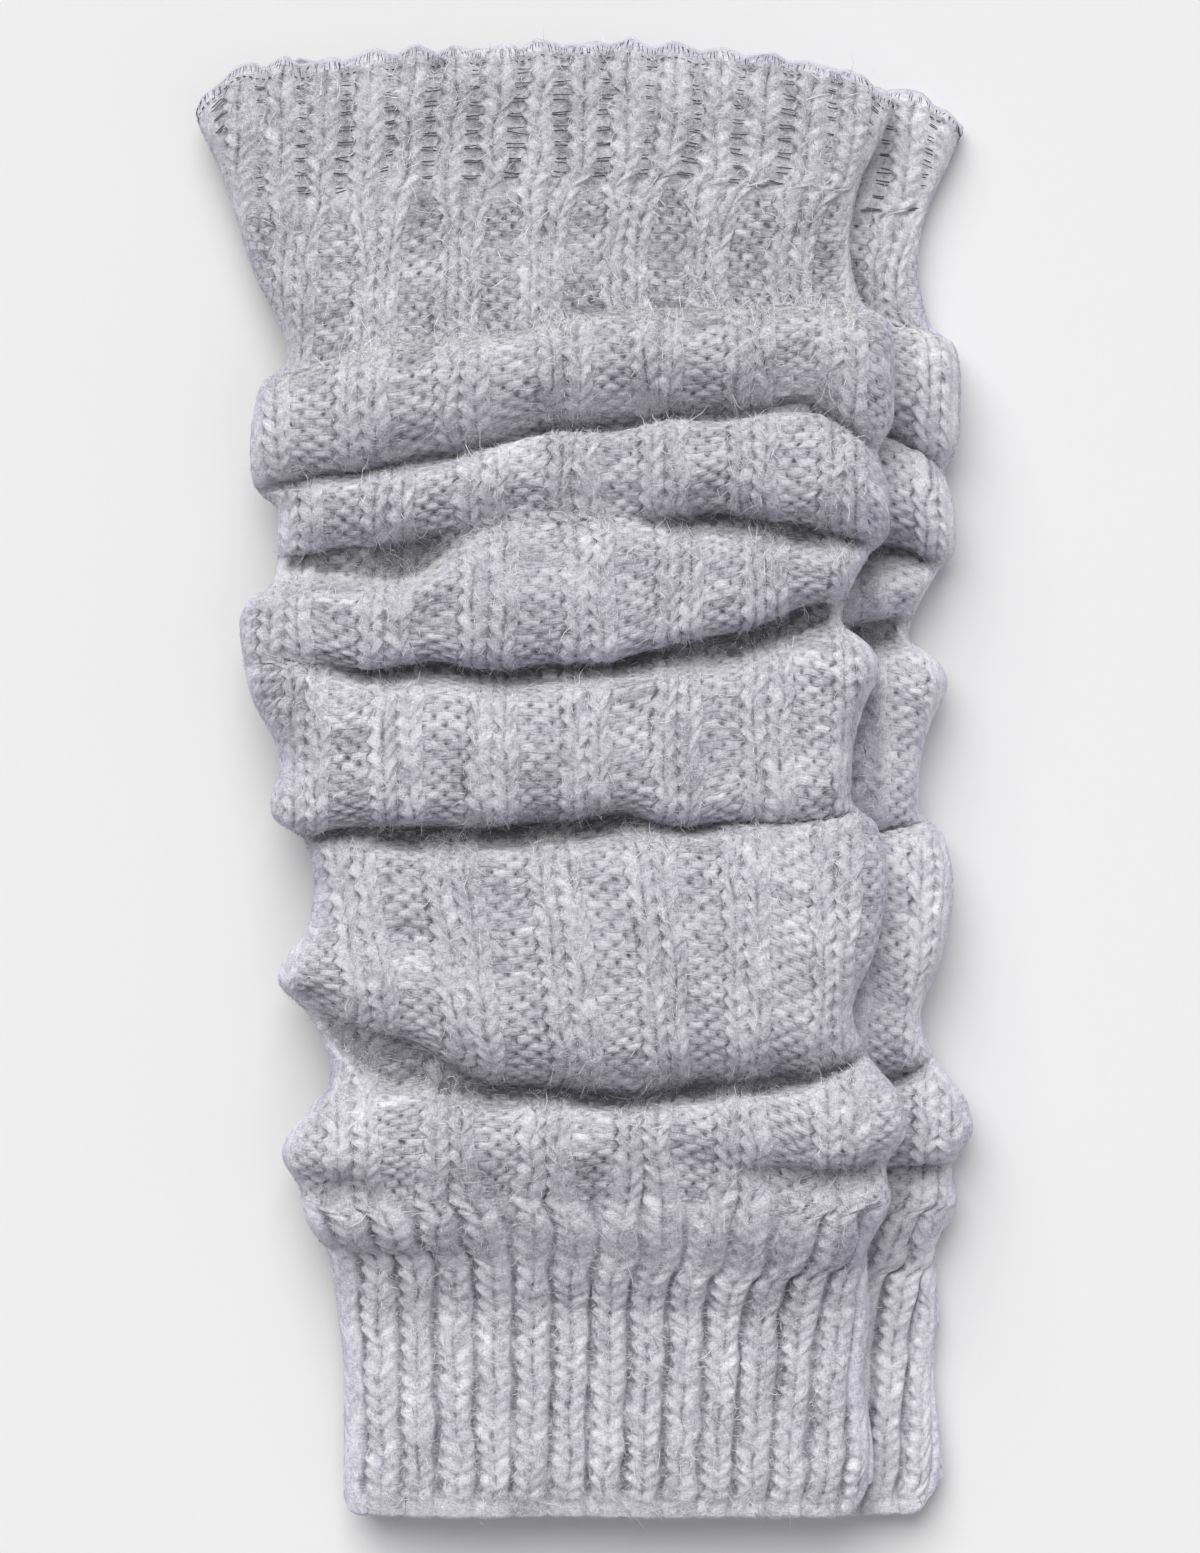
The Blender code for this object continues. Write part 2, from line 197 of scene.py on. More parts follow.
# Dents and swells in the rolls, on top of the folds.
DENTS = (
    # x, y, half length, half width, depth (a swell is negative)
    (-46.6, -39.0, 6.0, 3.5, 4.0),
    (-31.0, -73.0, 7.0, 6.0, 2.5),
    (-64.0, -99.5, 5.5, 3.0, 5.0),
    (-54.0, -72.0, 20.0, 6.0, 2.5),
    (48.0, 34.0, 9.0, 6.0, 3.0),
    (-69.0, -24.0, 4.0, 12.0, 2.5),
    (20.0, -30.0, 30.0, 12.0, -1.2),
    (-30.0, 38.0, 24.0, 8.0, -1.0),
    (15.0, 100.0, 30.0, 8.0, -0.9),
    (-20.0, 8.0, 22.0, 9.0, -0.8),
    (55.0, 72.0, 12.0, 7.0, -1.0),
    (-10.0, 140.0, 20.0, 12.0, 0.8),
)

# Places where brushed fibres hide the stitches.
FELTED = (
    # x, y, half length, half width
    (-42.0, -46.0, 26.0, 6.0),
    (-52.0, 55.0, 20.0, 6.0),
    (10.0, 89.0, 50.0, 5.0),
    (-15.0, 48.0, 26.0, 7.0),
    (-10.0, 128.0, 40.0, 5.0),
    (20.0, -74.0, 45.0, 6.0),
    (45.0, -14.0, 22.0, 6.0),
    (50.0, 95.0, 14.0, 8.0),
    (12.0, -116.0, 56.0, 9.0),
    (0.0, -183.0, 80.0, 3.5),
)

# Small lumps of thicker, paler yarn.
SLUBS = (
    # x, y, half width, half height, lift
    (-27.6, -141.6, 1.3, 2.2, 1.1),
    (22.0, -155.0, 1.0, 1.6, 0.5),
    (-58.0, 55.0, 1.2, 1.5, 0.6),
    (36.0, 128.0, 1.0, 1.7, 0.5),
    (-12.0, 2.0, 1.1, 1.5, 0.6),
)

LINES = list(LINE_Y)
ROLLS = list(ROLL)
BAND_END = LINES.index("band_seam")
CUFF_START = LINES.index("cuff_seam")

# ---- the knitting --------------------------------------------------------------------

STITCHES = 60             # round the tube
REPEAT = 4                # stitches in one repeat of the 2x2 rib: purl, purl, knit, knit
COURSES = (9, 88, 17)     # in the band, the leg and the cuff
PER_COURSE = 6            # grid lines to a course
COARSE_STEP = 3           # grid lines between the lines of hidden cloth
SLANT = 0.62              # how many courses a leg of a stitch rises over its width

# Stitch numbers on the front wall at the X of WALES_X, near the top and near the bottom of
# each stretch between two creases. Beyond them stitches go on at the same width.
WALES_X = (-50.0, 0.0, 50.0)
WALES = {
    # roll       -50     0     50  |  -50      0     50, if not as near the top
    "top_band": (7.80, 17.10, 26.00,  8.10, 17.50, 26.60),
    "fan":      (8.30, 17.95, 27.50,  8.65, 18.40, 28.10),
    "roll_1":   (8.83, 16.96, 25.86),
    "roll_2":   (7.78, 16.68, 25.80),
    "roll_3":   (7.89, 15.96, 25.33),
    "roll_4":   (7.40, 16.08, 25.21),
    "roll_5":   (9.39, 17.50, 26.06,  8.50, 16.35, 26.20),
    "roll_6":   (9.29, 17.75, 26.08),
    "roll_7":   (9.29, 17.75, 26.08,  8.50, 17.60, 27.00),
    "cuff":     (7.60, 17.90, 28.30,  7.41, 18.28, 29.44),
}
WALES_AT = (0.2, 0.8)     # where "near the top" and "near the bottom" are

# Each kind of rib: how far its two wales move together, the width of a wale in stitches,
# how high the wales stand, how deep the purl ground and the gutter between the two wales
# lie, and the height of the purl bumps.
RIB = {
    # rib      pull   wale   stand  ground  gutter  bumps
    "elastic": (0.0,  1.31,  0.45,  -0.9,   -0.9,   0.25),
    "wide":    (0.45, 1.10,  0.40,  -0.40,  -0.20,  1.60),
    "cuff":    (0.0,  1.57,  0.35,  -1.75,  -1.75,  0.0),
}
LEG_RELIEF = 1.00         # height of a leg of a stitch above the seams between stitches
LIP_RIBBING = 0.5         # how far wales stand out, and purl sinks in, under a roll
EDGE_SCALLOP = 1.9        # mm that the finished top edge rises over each wale
EDGE_DEPTH = 0.6          # courses that the finished edge reaches down
WIDEN_OVER = (8.2, 12.0)  # courses over which the band's rib opens into the wide rib
CLOSE_OVER = (89.0, 95.5)  # courses over which the wide rib closes into the cuff's


# ---- curves through the tables -------------------------------------------------------

def smooth_through(stations, values, at):
    """A curve through the values, with no overshoot between them, read at the points `at`."""
    x = np.asarray(stations, float)
    y = np.asarray(values, float)
    step = np.diff(x)
    slope = np.diff(y) / step
    tangent = np.zeros_like(y)
    turning = slope[:-1] * slope[1:] <= 0
    weight_a = 2 * step[1:] + step[:-1]
    weight_b = step[1:] + 2 * step[:-1]
    safe = np.where(turning, 1.0, slope[:-1]), np.where(turning, 1.0, slope[1:])
    harmonic = (weight_a + weight_b) / (weight_a / safe[0] + weight_b / safe[1])
    tangent[1:-1] = np.where(turning, 0.0, harmonic)
    tangent[0], tangent[-1] = slope[0], slope[-1]
    at = np.clip(np.asarray(at, float), x[0], x[-1])
    i = np.clip(np.searchsorted(x, at) - 1, 0, len(step) - 1)
    t = (at - x[i]) / step[i]
    return (y[i] * (1 + 2 * t) * (1 - t) ** 2 + y[i + 1] * t * t * (3 - 2 * t)
            + step[i] * t * (1 - t) * ((1 - t) * tangent[i] - t * tangent[i + 1]))


def table_value(table, y):
    """The second column of a table whose first column is y, read at y."""
    stations, values = zip(*sorted(table))
    return smooth_through(stations, values, y)


def line_value(table, line, x):
    """A table's value for one line across the tube, read at x."""
    row = table.get(LINES[line])
    return 0.0 if row is None else smooth_through(ACROSS_AT, row, x)


def corner_rise(x, y, end):
    """How far an end's edge curls in near the outline's corners."""
    rise = 0.0
    for side, sign, (height, width) in zip((LEFT_SIDE, RIGHT_SIDE), (1, -1), CORNERS[end]):
        inside = np.clip(sign * (x - table_value(side, y)) / width, 0, 1)
        rise = rise + height * (1 - inside) ** CORNER_POWER
    return rise


def ease(at, start, end):
    """0 before start and 1 after end, smooth between them."""
    t = np.clip((at - start) / (end - start), 0, 1)
    return t * t * (3 - 2 * t)


def from_spot(x, y, spot_x, spot_y, half_length, half_width):
    """Squared distance from an oval spot's middle: 1 at its rim."""
    return ((x - spot_x) / half_length) ** 2 + ((y - spot_y) / half_width) ** 2


def blurred(grid, lines, columns):
    """The grid, blurred by so many lines down and so many columns round the tube."""
    out = np.asarray(grid, float)
    for axis, width, mode in ((0, lines, "edge"), (1, columns, "wrap")):
        if width <= 0:
            continue
        reach = int(3 * width + 1)
        weights = np.exp(-0.5 * (np.arange(-reach, reach + 1) / width) ** 2)
        weights /= weights.sum()
        pad = [(0, 0)] * out.ndim
        pad[axis] = (reach, reach)
        padded = np.moveaxis(np.pad(out, pad, mode=mode), axis, 0)
        length = out.shape[axis]
        total = sum(weight * padded[i:i + length] for i, weight in enumerate(weights))
        out = np.moveaxis(total, 0, axis)
    return out


def unit(vectors):
    """The vectors, each made 1 long."""
    return vectors / np.maximum(np.linalg.norm(vectors, axis=-1, keepdims=True), 1e-9)


def patches(random, lines, columns, down, around):
    """Smooth unevenness of about unit size, in patches of so many lines and columns."""
    rows = int(lines / down) + 4
    cells = max(3, int(columns / around))
    coarse = random.normal(size=(rows, cells))
    at_line = np.arange(lines) / down
    at_column = np.arange(columns) / columns * cells
    i = at_line.astype(int)[:, None]
    j = at_column.astype(int)[None, :]
    u = (at_line % 1)[:, None]
    v = (at_column % 1)[None, :]
    u = u * u * (3 - 2 * u)
    v = v * v * (3 - 2 * v)
    k = (j + 1) % cells
    return ((coarse[i, j] * (1 - u) + coarse[i + 1, j] * u) * (1 - v)
            + (coarse[i, k] * (1 - u) + coarse[i + 1, k] * u) * v)


# ---- the form of one tube ------------------------------------------------------------

PARTS = 48                # steps down each roll
HALF_ROUND = 160          # steps across each wall
CUT = 5                   # columns to a stitch where the form is laid out by stitches
SIDE_RISE = 10.0          # height over which each side rounds, where stitches are spaced
HALF_WIDTH = 70.0         # of the tube, as a first guess
OUTLINE_ROUNDS = 6        # times that X and Y are worked out from each other
DENT_LEFT = 0.4           # share of a dent's depth that is left deep in a crease
DEEP_FALL = (2.0, 7.0)    # between these falls from its crown a roll's side turns round
FULL_FALL = 10.0          # fall from the crown that is as deep in a crease as any
BACK_LIFT_FALL = 8.0      # fall from the crown at which a crease lifts the back wall fully


def drop(share, fall):
    """Fall from a roll's crown: 0 at the crown and 1 in the crease, round like a quarter
    circle where the fall in mm is deep, and gentle where it is shallow."""
    toward = np.clip(1 - share, 0, 1)
    quarter_round = 1 - np.sqrt(np.clip(1 - toward ** 2, 0, 1))
    gentle = toward * toward * (3 - 2 * toward)
    return gentle + (quarter_round - gentle) * ease(fall, *DEEP_FALL)


def rounding_of(inside):
    """How far a wall has risen from the outline: 0 on it and 1 where the wall is level."""
    return (1 - (1 - inside) ** EDGE_POWER) ** (1 / EDGE_POWER)


def wander(x, line, seed):
    """The small unevenness of a line across the tube."""
    return sum(height * np.sin(x / length + by_line * line + by_seed * seed)
               for height, length, by_line, by_seed in WAVES)


def along_roll(x, line, part, seed):
    """Y, front height, crown and lean at x, a part (0 to 1) of the way down a roll.

    The first third of the parts lies on the slope out of the crease above, and the last
    third on the slope into the crease below.
    """
    above = line_value(LINE_Y, line, x)
    below = line_value(LINE_Y, line + 1, x)
    if line == 0:
        above = above - corner_rise(x, above, "top_edge")
    else:
        above = above + wander(x, line, seed)
    if line + 1 == len(LINES) - 1:
        below = below + corner_rise(x, below, "bottom_edge")
    else:
        below = below + wander(x, line + 1, seed)
    left, middle, right, reach_above, reach_below, arch = ROLL[ROLLS[line]]
    length = above - below
    gap = line_value(CREASE_GAP, line, x)
    squeeze = np.minimum(1.0, length / (gap + reach_above + reach_below + LEAST_CROWN))
    gap = gap * squeeze
    reach_above = gap + reach_above * squeeze
    reach_below = reach_below * squeeze
    start = np.clip(3 * part, 0, 1) ** 2
    end = np.clip(3 * (1 - part), 0, 1) ** 2
    flat = np.clip(3 * part - 1, 0, 1)
    middle_y = reach_above + (length - reach_above - reach_below) * flat
    from_above = np.where(part < 1 / 3, reach_above * start, middle_y)
    from_above = np.where(part > 2 / 3, length - reach_below * end, from_above)
    share = from_above / length
    crown = smooth_through(ROLL_AT, (left, middle, right), x)
    crown = crown + arch * (4 * share * (1 - share)) ** 1.5
    fall_above = crown - line_value(LINE_HEIGHT, line, x)
    fall_below = crown - line_value(LINE_HEIGHT, line + 1, x)
    drop_above = drop(np.clip((from_above - gap) / (reach_above - gap), 0, 1), fall_above)
    drop_below = drop((length - from_above) / reach_below, fall_below)
    height = crown - fall_above * drop_above - fall_below * drop_below
    lean = (line_value(CREASE_LEAN, line, x) * drop_above ** 2
            + line_value(CREASE_LEAN, line + 1, x) * drop_below ** 2)
    return above - from_above, height, crown, lean


def tube_form(lying):
    """The tube's surface on a fine grid: X, Y and Z, how far it has dropped into a crease,
    1 on the front and 0 on the back, and how near the outline it is."""
    turn = np.linspace(0, np.pi, HALF_ROUND + 1)
    across = np.concatenate([-np.cos(turn), np.cos(turn)[1:-1]])[None, :]
    front = np.concatenate([np.ones(HALF_ROUND + 1), np.zeros(HALF_ROUND - 1)])[None, :]
    lines = []
    places = []
    for line in range(len(ROLLS)):
        last = line == len(ROLLS) - 1
        part = np.linspace(0, 1, PARTS + 1)[:, None]
        part = part if last else part[:-1]
        x = HALF_WIDTH * across + 0 * part
        for _ in range(OUTLINE_ROUNDS):
            y, height, crown, lean = along_roll(x, line, part, lying["seed"])
            left = table_value(LEFT_SIDE, y)
            right = table_value(RIGHT_SIDE, y)
            x = (left + right) / 2 + across * (right - left) / 2
        fall = np.clip((crown - height) / FULL_FALL, 0, 1)
        from_left = x - left
        inside = np.clip(np.minimum(from_left, right - x) / EDGE_ROUND, 0, 1)
        rounding = rounding_of(inside)
        shallower = DENT_LEFT + (1 - DENT_LEFT) * (1 - fall)
        for *spot, depth in DENTS:
            height = height - depth * np.exp(-from_spot(x, y, *spot)) * shallower
        side_height = EDGE_LEVEL * height
        back_height = BACK_DIP * np.clip((crown - height) / BACK_LIFT_FALL, 0, 1)
        wall_height = np.where(front > 0.5, height, back_height)
        z = side_height + (wall_height - side_height) * rounding
        rest = table_value(lying["rest"], y)
        sink = lying["sink"] * rest * np.clip(1 - from_left / SINK_REACH, 0, 1) ** 2
        lean = lean * np.where(front > 0.5, rounding, 0.0)
        lines.append(np.stack([
            x + lying["shift"][0] + CENTRE[0],
            (y + lean) * lying["length"] + lying["shift"][1] + CENTRE[1],
            z + rest + lying["gap"] - sink,
            fall,
            front + 0 * x,
            inside,
        ], axis=-1))
        places.append(line + part[:, 0])
    return np.concatenate(lines), np.concatenate(places)


def wales_at(place, column):
    """A column of WALES, smooth down the tube; place counts the rolls and the part of one."""
    stations = [roll + at for roll in range(len(ROLLS)) for at in WALES_AT]
    # in a row of six, and in one of three that holds for the whole roll
    values = [WALES[roll][at] for roll in ROLLS for at in (column, column - 3)]
    return smooth_through(stations, values, place)


def resampled(at, stations, values):
    """Each column of the values, read along their stations at these points."""
    return np.stack([np.interp(at, stations, column) for column in values.T], axis=-1)


def by_stitches(form, places, lying):
    """The form on the same lines, with a column for each CUT-th of a stitch.

    On the front wall the stitches stand where WALES says, and on the back wall they are
    spread evenly. Their room is measured across the tube and round its sides, whatever
    the creases do.
    """
    closed = np.concatenate([form, form[:, :1]], axis=1)
    level = closed[..., :3].copy()
    level[..., 1] = 0.0
    level[..., 2] = SIDE_RISE * rounding_of(closed[..., 5])
    level[:, HALF_ROUND + 1:, 2] *= -1.0
    steps = np.linalg.norm(np.diff(level, axis=1), axis=-1)
    run = np.concatenate([np.zeros((len(form), 1)), np.cumsum(steps, axis=1)], axis=1)
    columns = np.arange(STITCHES * CUT) / CUT
    numbers = np.stack([wales_at(places, column) for column in range(3)], axis=-1)
    rows = []
    for ring, ring_run, (low, middle, high) in zip(closed, run, numbers + lying["turn"]):
        front_x = ring[:HALF_ROUND + 1, 0] - lying["shift"][0] - CENTRE[0]
        front_run = ring_run[:HALF_ROUND + 1]
        at_low, at_middle, at_high = np.interp(WALES_X, front_x, front_run)
        left = low - (middle - low) / (at_middle - at_low) * at_low
        right = high + (high - middle) / (at_high - at_middle) * (front_run[-1] - at_high)
        stations = (0.0, at_low, at_middle, at_high, front_run[-1])
        on_front = smooth_through(stations, (left, low, middle, high, right), front_run)
        back_run = ring_run[HALF_ROUND:] - front_run[-1]
        on_back = right + (left + STITCHES - right) * back_run / back_run[-1]
        stitch = np.concatenate([on_front, on_back[1:]])
        stitch = np.concatenate([stitch[:-1] - STITCHES, stitch[:-1], stitch + STITCHES])
        rows.append(resampled(columns, stitch, np.concatenate([ring[:-1], ring[:-1], ring])))
    return np.stack(rows)


def by_courses(form):
    """The form on a line for each sixth of a course, evenly down each stretch."""
    steps = np.linalg.norm(np.diff(form[..., :3], axis=0), axis=-1)
    run = np.concatenate([np.zeros((1, form.shape[1])), np.cumsum(steps, axis=0)])
    run = blurred(run, 0, 1.5 * CUT)
    cuts = [0, BAND_END * PARTS, CUFF_START * PARTS, len(form) - 1]
    course = np.zeros_like(run)
    done = 0
    for start, end, courses in zip(cuts[:-1], cuts[1:], COURSES):
        stretch = (run[start:end + 1] - run[start]) / (run[end] - run[start])
        course[start:end + 1] = done + courses * stretch
        done += courses
    lines = np.arange(done * PER_COURSE + 1) / PER_COURSE
    return np.stack([resampled(lines, course[:, j], form[:, j])
                     for j in range(form.shape[1])], axis=1)


# ---- the grid of stitches ------------------------------------------------------------

# The cells of one repeat, from left to right, and the columns that each is cut into.
CELLS = ("ground", "left_leg", "right_leg", "gutter", "left_leg", "right_leg")
FINE_CUTS = (8, 4, 4, 3, 4, 4)
ROUGH_CUTS = (3, 1, 1, 1, 1, 1)
FINE_REPEATS = {          # the repeats that are cut fine, where the photo shows them
    "upper": (14, 0, 1, 2, 3, 4, 5, 6, 7, 8),
    "lower": (6, 7, 8),
}
# Each leg of a stitch is a rounded grain that leans inwards as it runs down.
GRAIN_LEAN = 70.0         # degrees from level
GRAIN_HALF_LENGTH = 3.15  # mm
GRAIN_HALF_WIDTH = 1.50
LEG_WIDTH = 3.2           # mm from a wale's middle to its side
STITCH_WIDTH = 5.6        # mm, to scale the yarn's pattern
COURSE_HEIGHT = 3.87
YARN_WIDTH = 2.0
LEG_LENGTH = 6.0          # mm of yarn in a leg of a stitch
BRICK_HALF_WIDTH = 0.27   # of a purl bump, as a share of the purl ground's width
BRICK_HALF_HEIGHT = 0.72  # of a purl bump, in half courses
FORM_BLUR = (1.3, 0.4)    # lines and columns over which the form is smoothed
OUTWARD_BLUR = (3.0, 1.2)
CLOTH_CLEAR = 0.12        # mm above the floor that the cloth stays
FIBRE_CLEAR = 0.1         # mm above the floor that its rims, fibres and threads stay
NO_PURL = -20.0           # marks a place outside the purl ground
ALL_COURSES = sum(COURSES)
WALE_MIDDLES = (2.5, 4.5)  # of the two wales of a repeat, in stitches
SETTLE = (2.0, 3.2)       # courses at the top and bottom over which stitches turn level
WALE_WEAVE = 0.10         # stitches that a wale's sides weave in and out at each course
TOP_LINES = 40            # grid lines of the top edge that the scallop can reach
SCALLOP_SPREAD = (0.25, 1.25)  # from the shallowest scallop to the deepest
GRAIN_MIDDLE = 0.55       # fullness that lies at the level of the smooth form
GRIT = 0.06               # mm of roughness from one grid point to the next

# Smooth unevenness: how much, and over how many lines and columns.
UNEVEN = {
    "sway":     (0.10, 9, 6),    # of stitches to the side, in stitches
    "lift":     (0.16, 14, 9),   # of stitches up the tube, in courses
    "scallop":  (0.2, 60, 5),    # of the top edge, as a share of EDGE_SCALLOP
    "felt":     (0.5, 11, 7),    # of how felted the cloth is
    "swell":    (0.35, 30, 18),  # of the cloth, in mm
    "broken":   (0.5, 4, 2),     # of the dark lines between stitches
    "broad":    (0.10, 16, 10),  # of the yarn's tone
}
# The slopes over which cloth counts as facing up the tube, or down it as a roll's lip does.
FACING_UP = (0.15, 0.8)
FACING_DOWN = (0.1, 0.8)
# Shares of EDGE_ROUND over which the front fades in, and the outline's felt, its lighter
# painted shade and its painted highlight fade out.
FRONT_FADES = (0.0, 0.45)
OUTLINE_FADES = (0.2, 0.6)
BOTTOM_FADES = (1.8, 0.6)  # courses from the bottom edge over which its own look fades in
HEM_FADES = (0.2, 0.1)    # courses above and below EDGE_DEPTH
SCALLOP_FADES = 2.2       # courses
UNDER_ROLL = (0.15, 0.6)  # how far under a roll its felt fades in

# How felted the cloth is, where 1 hides its stitches.
FELT = {"base": 0.05, "facing_up": 0.50, "patches": 0.42}
FELT_AT = {"outline": 0.9, "under_roll": 0.8, "place": 0.95, "band": 0.05, "bottom": 0.6}
# How much of the stitches' relief felt, a crease, the outline and the hem take away.
FLATTENED = {"felt": 0.6, "crease": 0.45, "outline": 0.4, "hem": 0.85}
# Painted shade on the purl ground, the more in the fan and under a roll's lip; how pale
# the yarn is, darker over the fan and paler round the outline as a painted highlight; and
# how lavender its tint is, with painted light making it more so on lips and round the
# outline and less so in creases and on cloth that faces up.
GROUND_SHADE = {"base": 0.06, "fan": 0.33, "lip": 0.08}
TONE = {"base": 0.5, "fan": -0.16, "own": 0.14, "broad": 1.0, "hem": 0.15, "slub": 0.5,
        "outline": 0.18}
LAVENDER_AND_PAINTED_LIGHT = {"base": 0.62, "lip": 0.3, "facing_up": -0.3, "outline": 0.5, "hem": 0.5,
            "crease": -0.6, "top": -0.25}
# Painted shade: the next four darken the colour of the gutters, holes and seams between stitches,
# where shade falls between them.
GUTTER_SHADE = 0.7        # how dark the gutter of the wide rib is
RIB_SHADE = (0.65, 0.4)   # how dark the closed rib's gutters are, evenly and in patches
ELASTIC_SHADE = (0.38, 0.48)  # how dark the band's gutters and the holes in them are
LEG_SHADE = (0.95, 0.15)  # how dark the seams between legs are, and the more in the band
# How much of its painted shade the bottom edge and the outline lose, and how much of its
# painted crease shadow cloth that faces up loses.
PALER = {"bottom": 0.8, "outline": 0.7, "facing_up": 0.7}
FAN_FADES = (20.0, 27.0)  # courses over which the fan's darker purl ground ends
TOP_FADES = (18.0, 26.0)  # courses over which the tint of the top ends


def weighted(weights, **parts):
    """The base weight, and each named part times its own weight."""
    total = weights["base"]
    for name, part in parts.items():
        total = total + weights[name] * part
    return total


def rib_values(course):
    """Each RIB column at a course, and the share of each kind of rib there."""
    wide = ease(course, *WIDEN_OVER) * (1 - ease(course, *CLOSE_OVER))
    cuff = ease(course, *CLOSE_OVER)
    weights = np.stack([1 - wide - cuff, wide, cuff], axis=-1)
    return weights @ np.array([RIB["elastic"], RIB["wide"], RIB["cuff"]]), weights


def column_layout(fine_repeats):
    """Each column's repeat, cell, share across the cell, and whether its cell is fine."""
    rows = []
    for repeat in range(STITCHES // REPEAT):
        fine = repeat in fine_repeats
        for cell, cuts in enumerate(FINE_CUTS if fine else ROUGH_CUTS):
            rows += [(repeat, cell, i / cuts, fine) for i in range(cuts)]
    return [np.array(column) for column in zip(*rows)]


def read_form(form, course, stitch):
    """The form at these courses and stitches, smooth round the tube."""
    line = np.clip(course * PER_COURSE, 0, len(form) - 1.001)
    i = line.astype(int)
    t = (line - i)[..., None]
    column = (stitch % STITCHES) * CUT
    j = column.astype(int)
    u = (column - j)[..., None]
    weights = (
        -0.5 * u + u ** 2 - 0.5 * u ** 3,
        1 - 2.5 * u ** 2 + 1.5 * u ** 3,
        0.5 * u + 2 * u ** 2 - 1.5 * u ** 3,
        -0.5 * u ** 2 + 0.5 * u ** 3,
    )
    total = 0.0
    for k, weight in enumerate(weights):
        at = (j + k - 1) % form.shape[1]
        total = total + weight * (form[i, at] * (1 - t) + form[i + 1, at] * t)
    return total


def face_normals(form):
    """Outward directions of a form that closes round the tube."""
    along = np.gradient(form[..., :3], axis=0)
    around = np.roll(form[..., :3], -1, axis=1) - np.roll(form[..., :3], 1, axis=1)
    return unit(np.cross(along, around))


class Cloth:
    """One tube's grid: its columns and lines, and what each grid point is."""

    def __init__(self, which):
        lying = LYING[which]
        self.which = which
        self.random = np.random.default_rng(lying["seed"])
        form, places = tube_form(lying)
        form = blurred(by_courses(by_stitches(form, places, lying)), *FORM_BLUR)
        outward = unit(blurred(face_normals(form), *OUTWARD_BLUR))
        self.form = np.concatenate([form, outward], axis=-1)
        self.repeat, self.cell, self.share, self.fine = column_layout(FINE_REPEATS[which])
        self.lines = len(form)
        self.columns = len(self.cell)
        kind = np.array(CELLS)[self.cell]
        self.left = kind == "left_leg"
        self.right = kind == "right_leg"
        self.legs = self.left | self.right
        self.ground = kind == "ground"
        self.gutter = kind == "gutter"
        self.number = np.cumsum(self.share == 0) - 1      # of each column's cell
        self.line = np.arange(self.lines)[:, None]
        self.lay_out()
        self.finish_top_edge()
        self.raise_stitches()
        self.shade_stitches()

    def uneven(self, name, lines=None):
        """Smooth unevenness of the grid, or of so many lines at its top."""
        amount, down, around = UNEVEN[name]
        return amount * patches(self.random, lines or self.lines, self.columns, down, around)

    def lay_out(self):
        """Where each grid point stands in courses and stitches, and on the smooth form."""
        flat_course = self.line / PER_COURSE
        self.values, shares = rib_values(flat_course[:, 0])
        self.elastic, self.wide = shares[:, 0, None], shares[:, 1, None]
        pull, wale = self.values[:, 0], self.values[:, 1]
        first, second = WALE_MIDDLES[0] + pull, WALE_MIDDLES[1] - pull
        half = wale / 2
        edges = np.stack([second - REPEAT + half, first - half, first, first + half,
                          second - half, second, second + half], axis=-1)
        start = edges[:, self.cell]
        end = edges[:, self.cell + 1]
        self.stitch = start + (end - start) * self.share + REPEAT * self.repeat
        inward = np.where(self.left, self.share, np.where(self.right, 1 - self.share, 0.0))
        settle = ease(flat_course, 0.0, SETTLE[0])
        settle = settle * (1 - ease(flat_course, ALL_COURSES - SETTLE[1], ALL_COURSES))
        self.course = flat_course + SLANT * inward * settle
        sway = self.uneven("sway")
        outward = np.where(self.right, self.share, np.where(self.left, self.share - 1, 0.0))
        sway = sway + WALE_WEAVE * outward * np.sin(2 * np.pi * flat_course - 1.2)
        lift = self.uneven("lift") * settle
        read = read_form(self.form, self.course + lift, self.stitch + sway)
        self.base = read[..., :3]
        self.fall = np.clip(read[..., 3], 0, 1)
        self.inside = read[..., 5]
        self.front = read[..., 4] * ease(self.inside, *FRONT_FADES)
        self.out = unit(read[..., 6:9])

    def finish_top_edge(self):
        """Draws the top edge out in a scallop over each wale of the elastic rib."""
        stitch = self.stitch[:TOP_LINES]
        upward = unit(self.base[0] - self.base[2 * PER_COURSE])
        over_wales = (0.5 - 0.5 * np.cos(np.pi * (stitch - 1.5))) ** 0.6
        wale = ((stitch - 1.5) // 2).astype(int) % (STITCHES // 2)
        uneven = self.random.uniform(*SCALLOP_SPREAD, STITCHES // 2)[wale]
        uneven = uneven + self.uneven("scallop", TOP_LINES)
        fade = 1 - ease(self.course[:TOP_LINES], 0.0, SCALLOP_FADES)
        reach = EDGE_SCALLOP * over_wales * uneven * fade
        self.base[:TOP_LINES] += upward * reach[..., None]
        start, end = EDGE_DEPTH - HEM_FADES[0], EDGE_DEPTH + HEM_FADES[1]
        self.hem = 1 - ease(self.course, start, end)

    def leg_fullness(self, phase):
        """How full a leg of a stitch is: 1 along the middle of its grain, 0 off it."""
        inward = np.where(self.right, 1 - self.share, self.share) - 0.5
        lean = np.radians(GRAIN_LEAN)
        aside = inward * LEG_WIDTH
        best = 0.0
        for neighbour in (-1, 0, 1):
            down = (phase - 0.5 + SLANT * inward + neighbour) * COURSE_HEIGHT
            along = aside * np.cos(lean) + down * np.sin(lean)
            off = down * np.cos(lean) - aside * np.sin(lean)
            spot = from_spot(along, off, 0, 0, GRAIN_HALF_LENGTH, GRAIN_HALF_WIDTH)
            best = np.maximum(best, np.clip(1 - spot, 0, 1) ** 0.6)
        return best

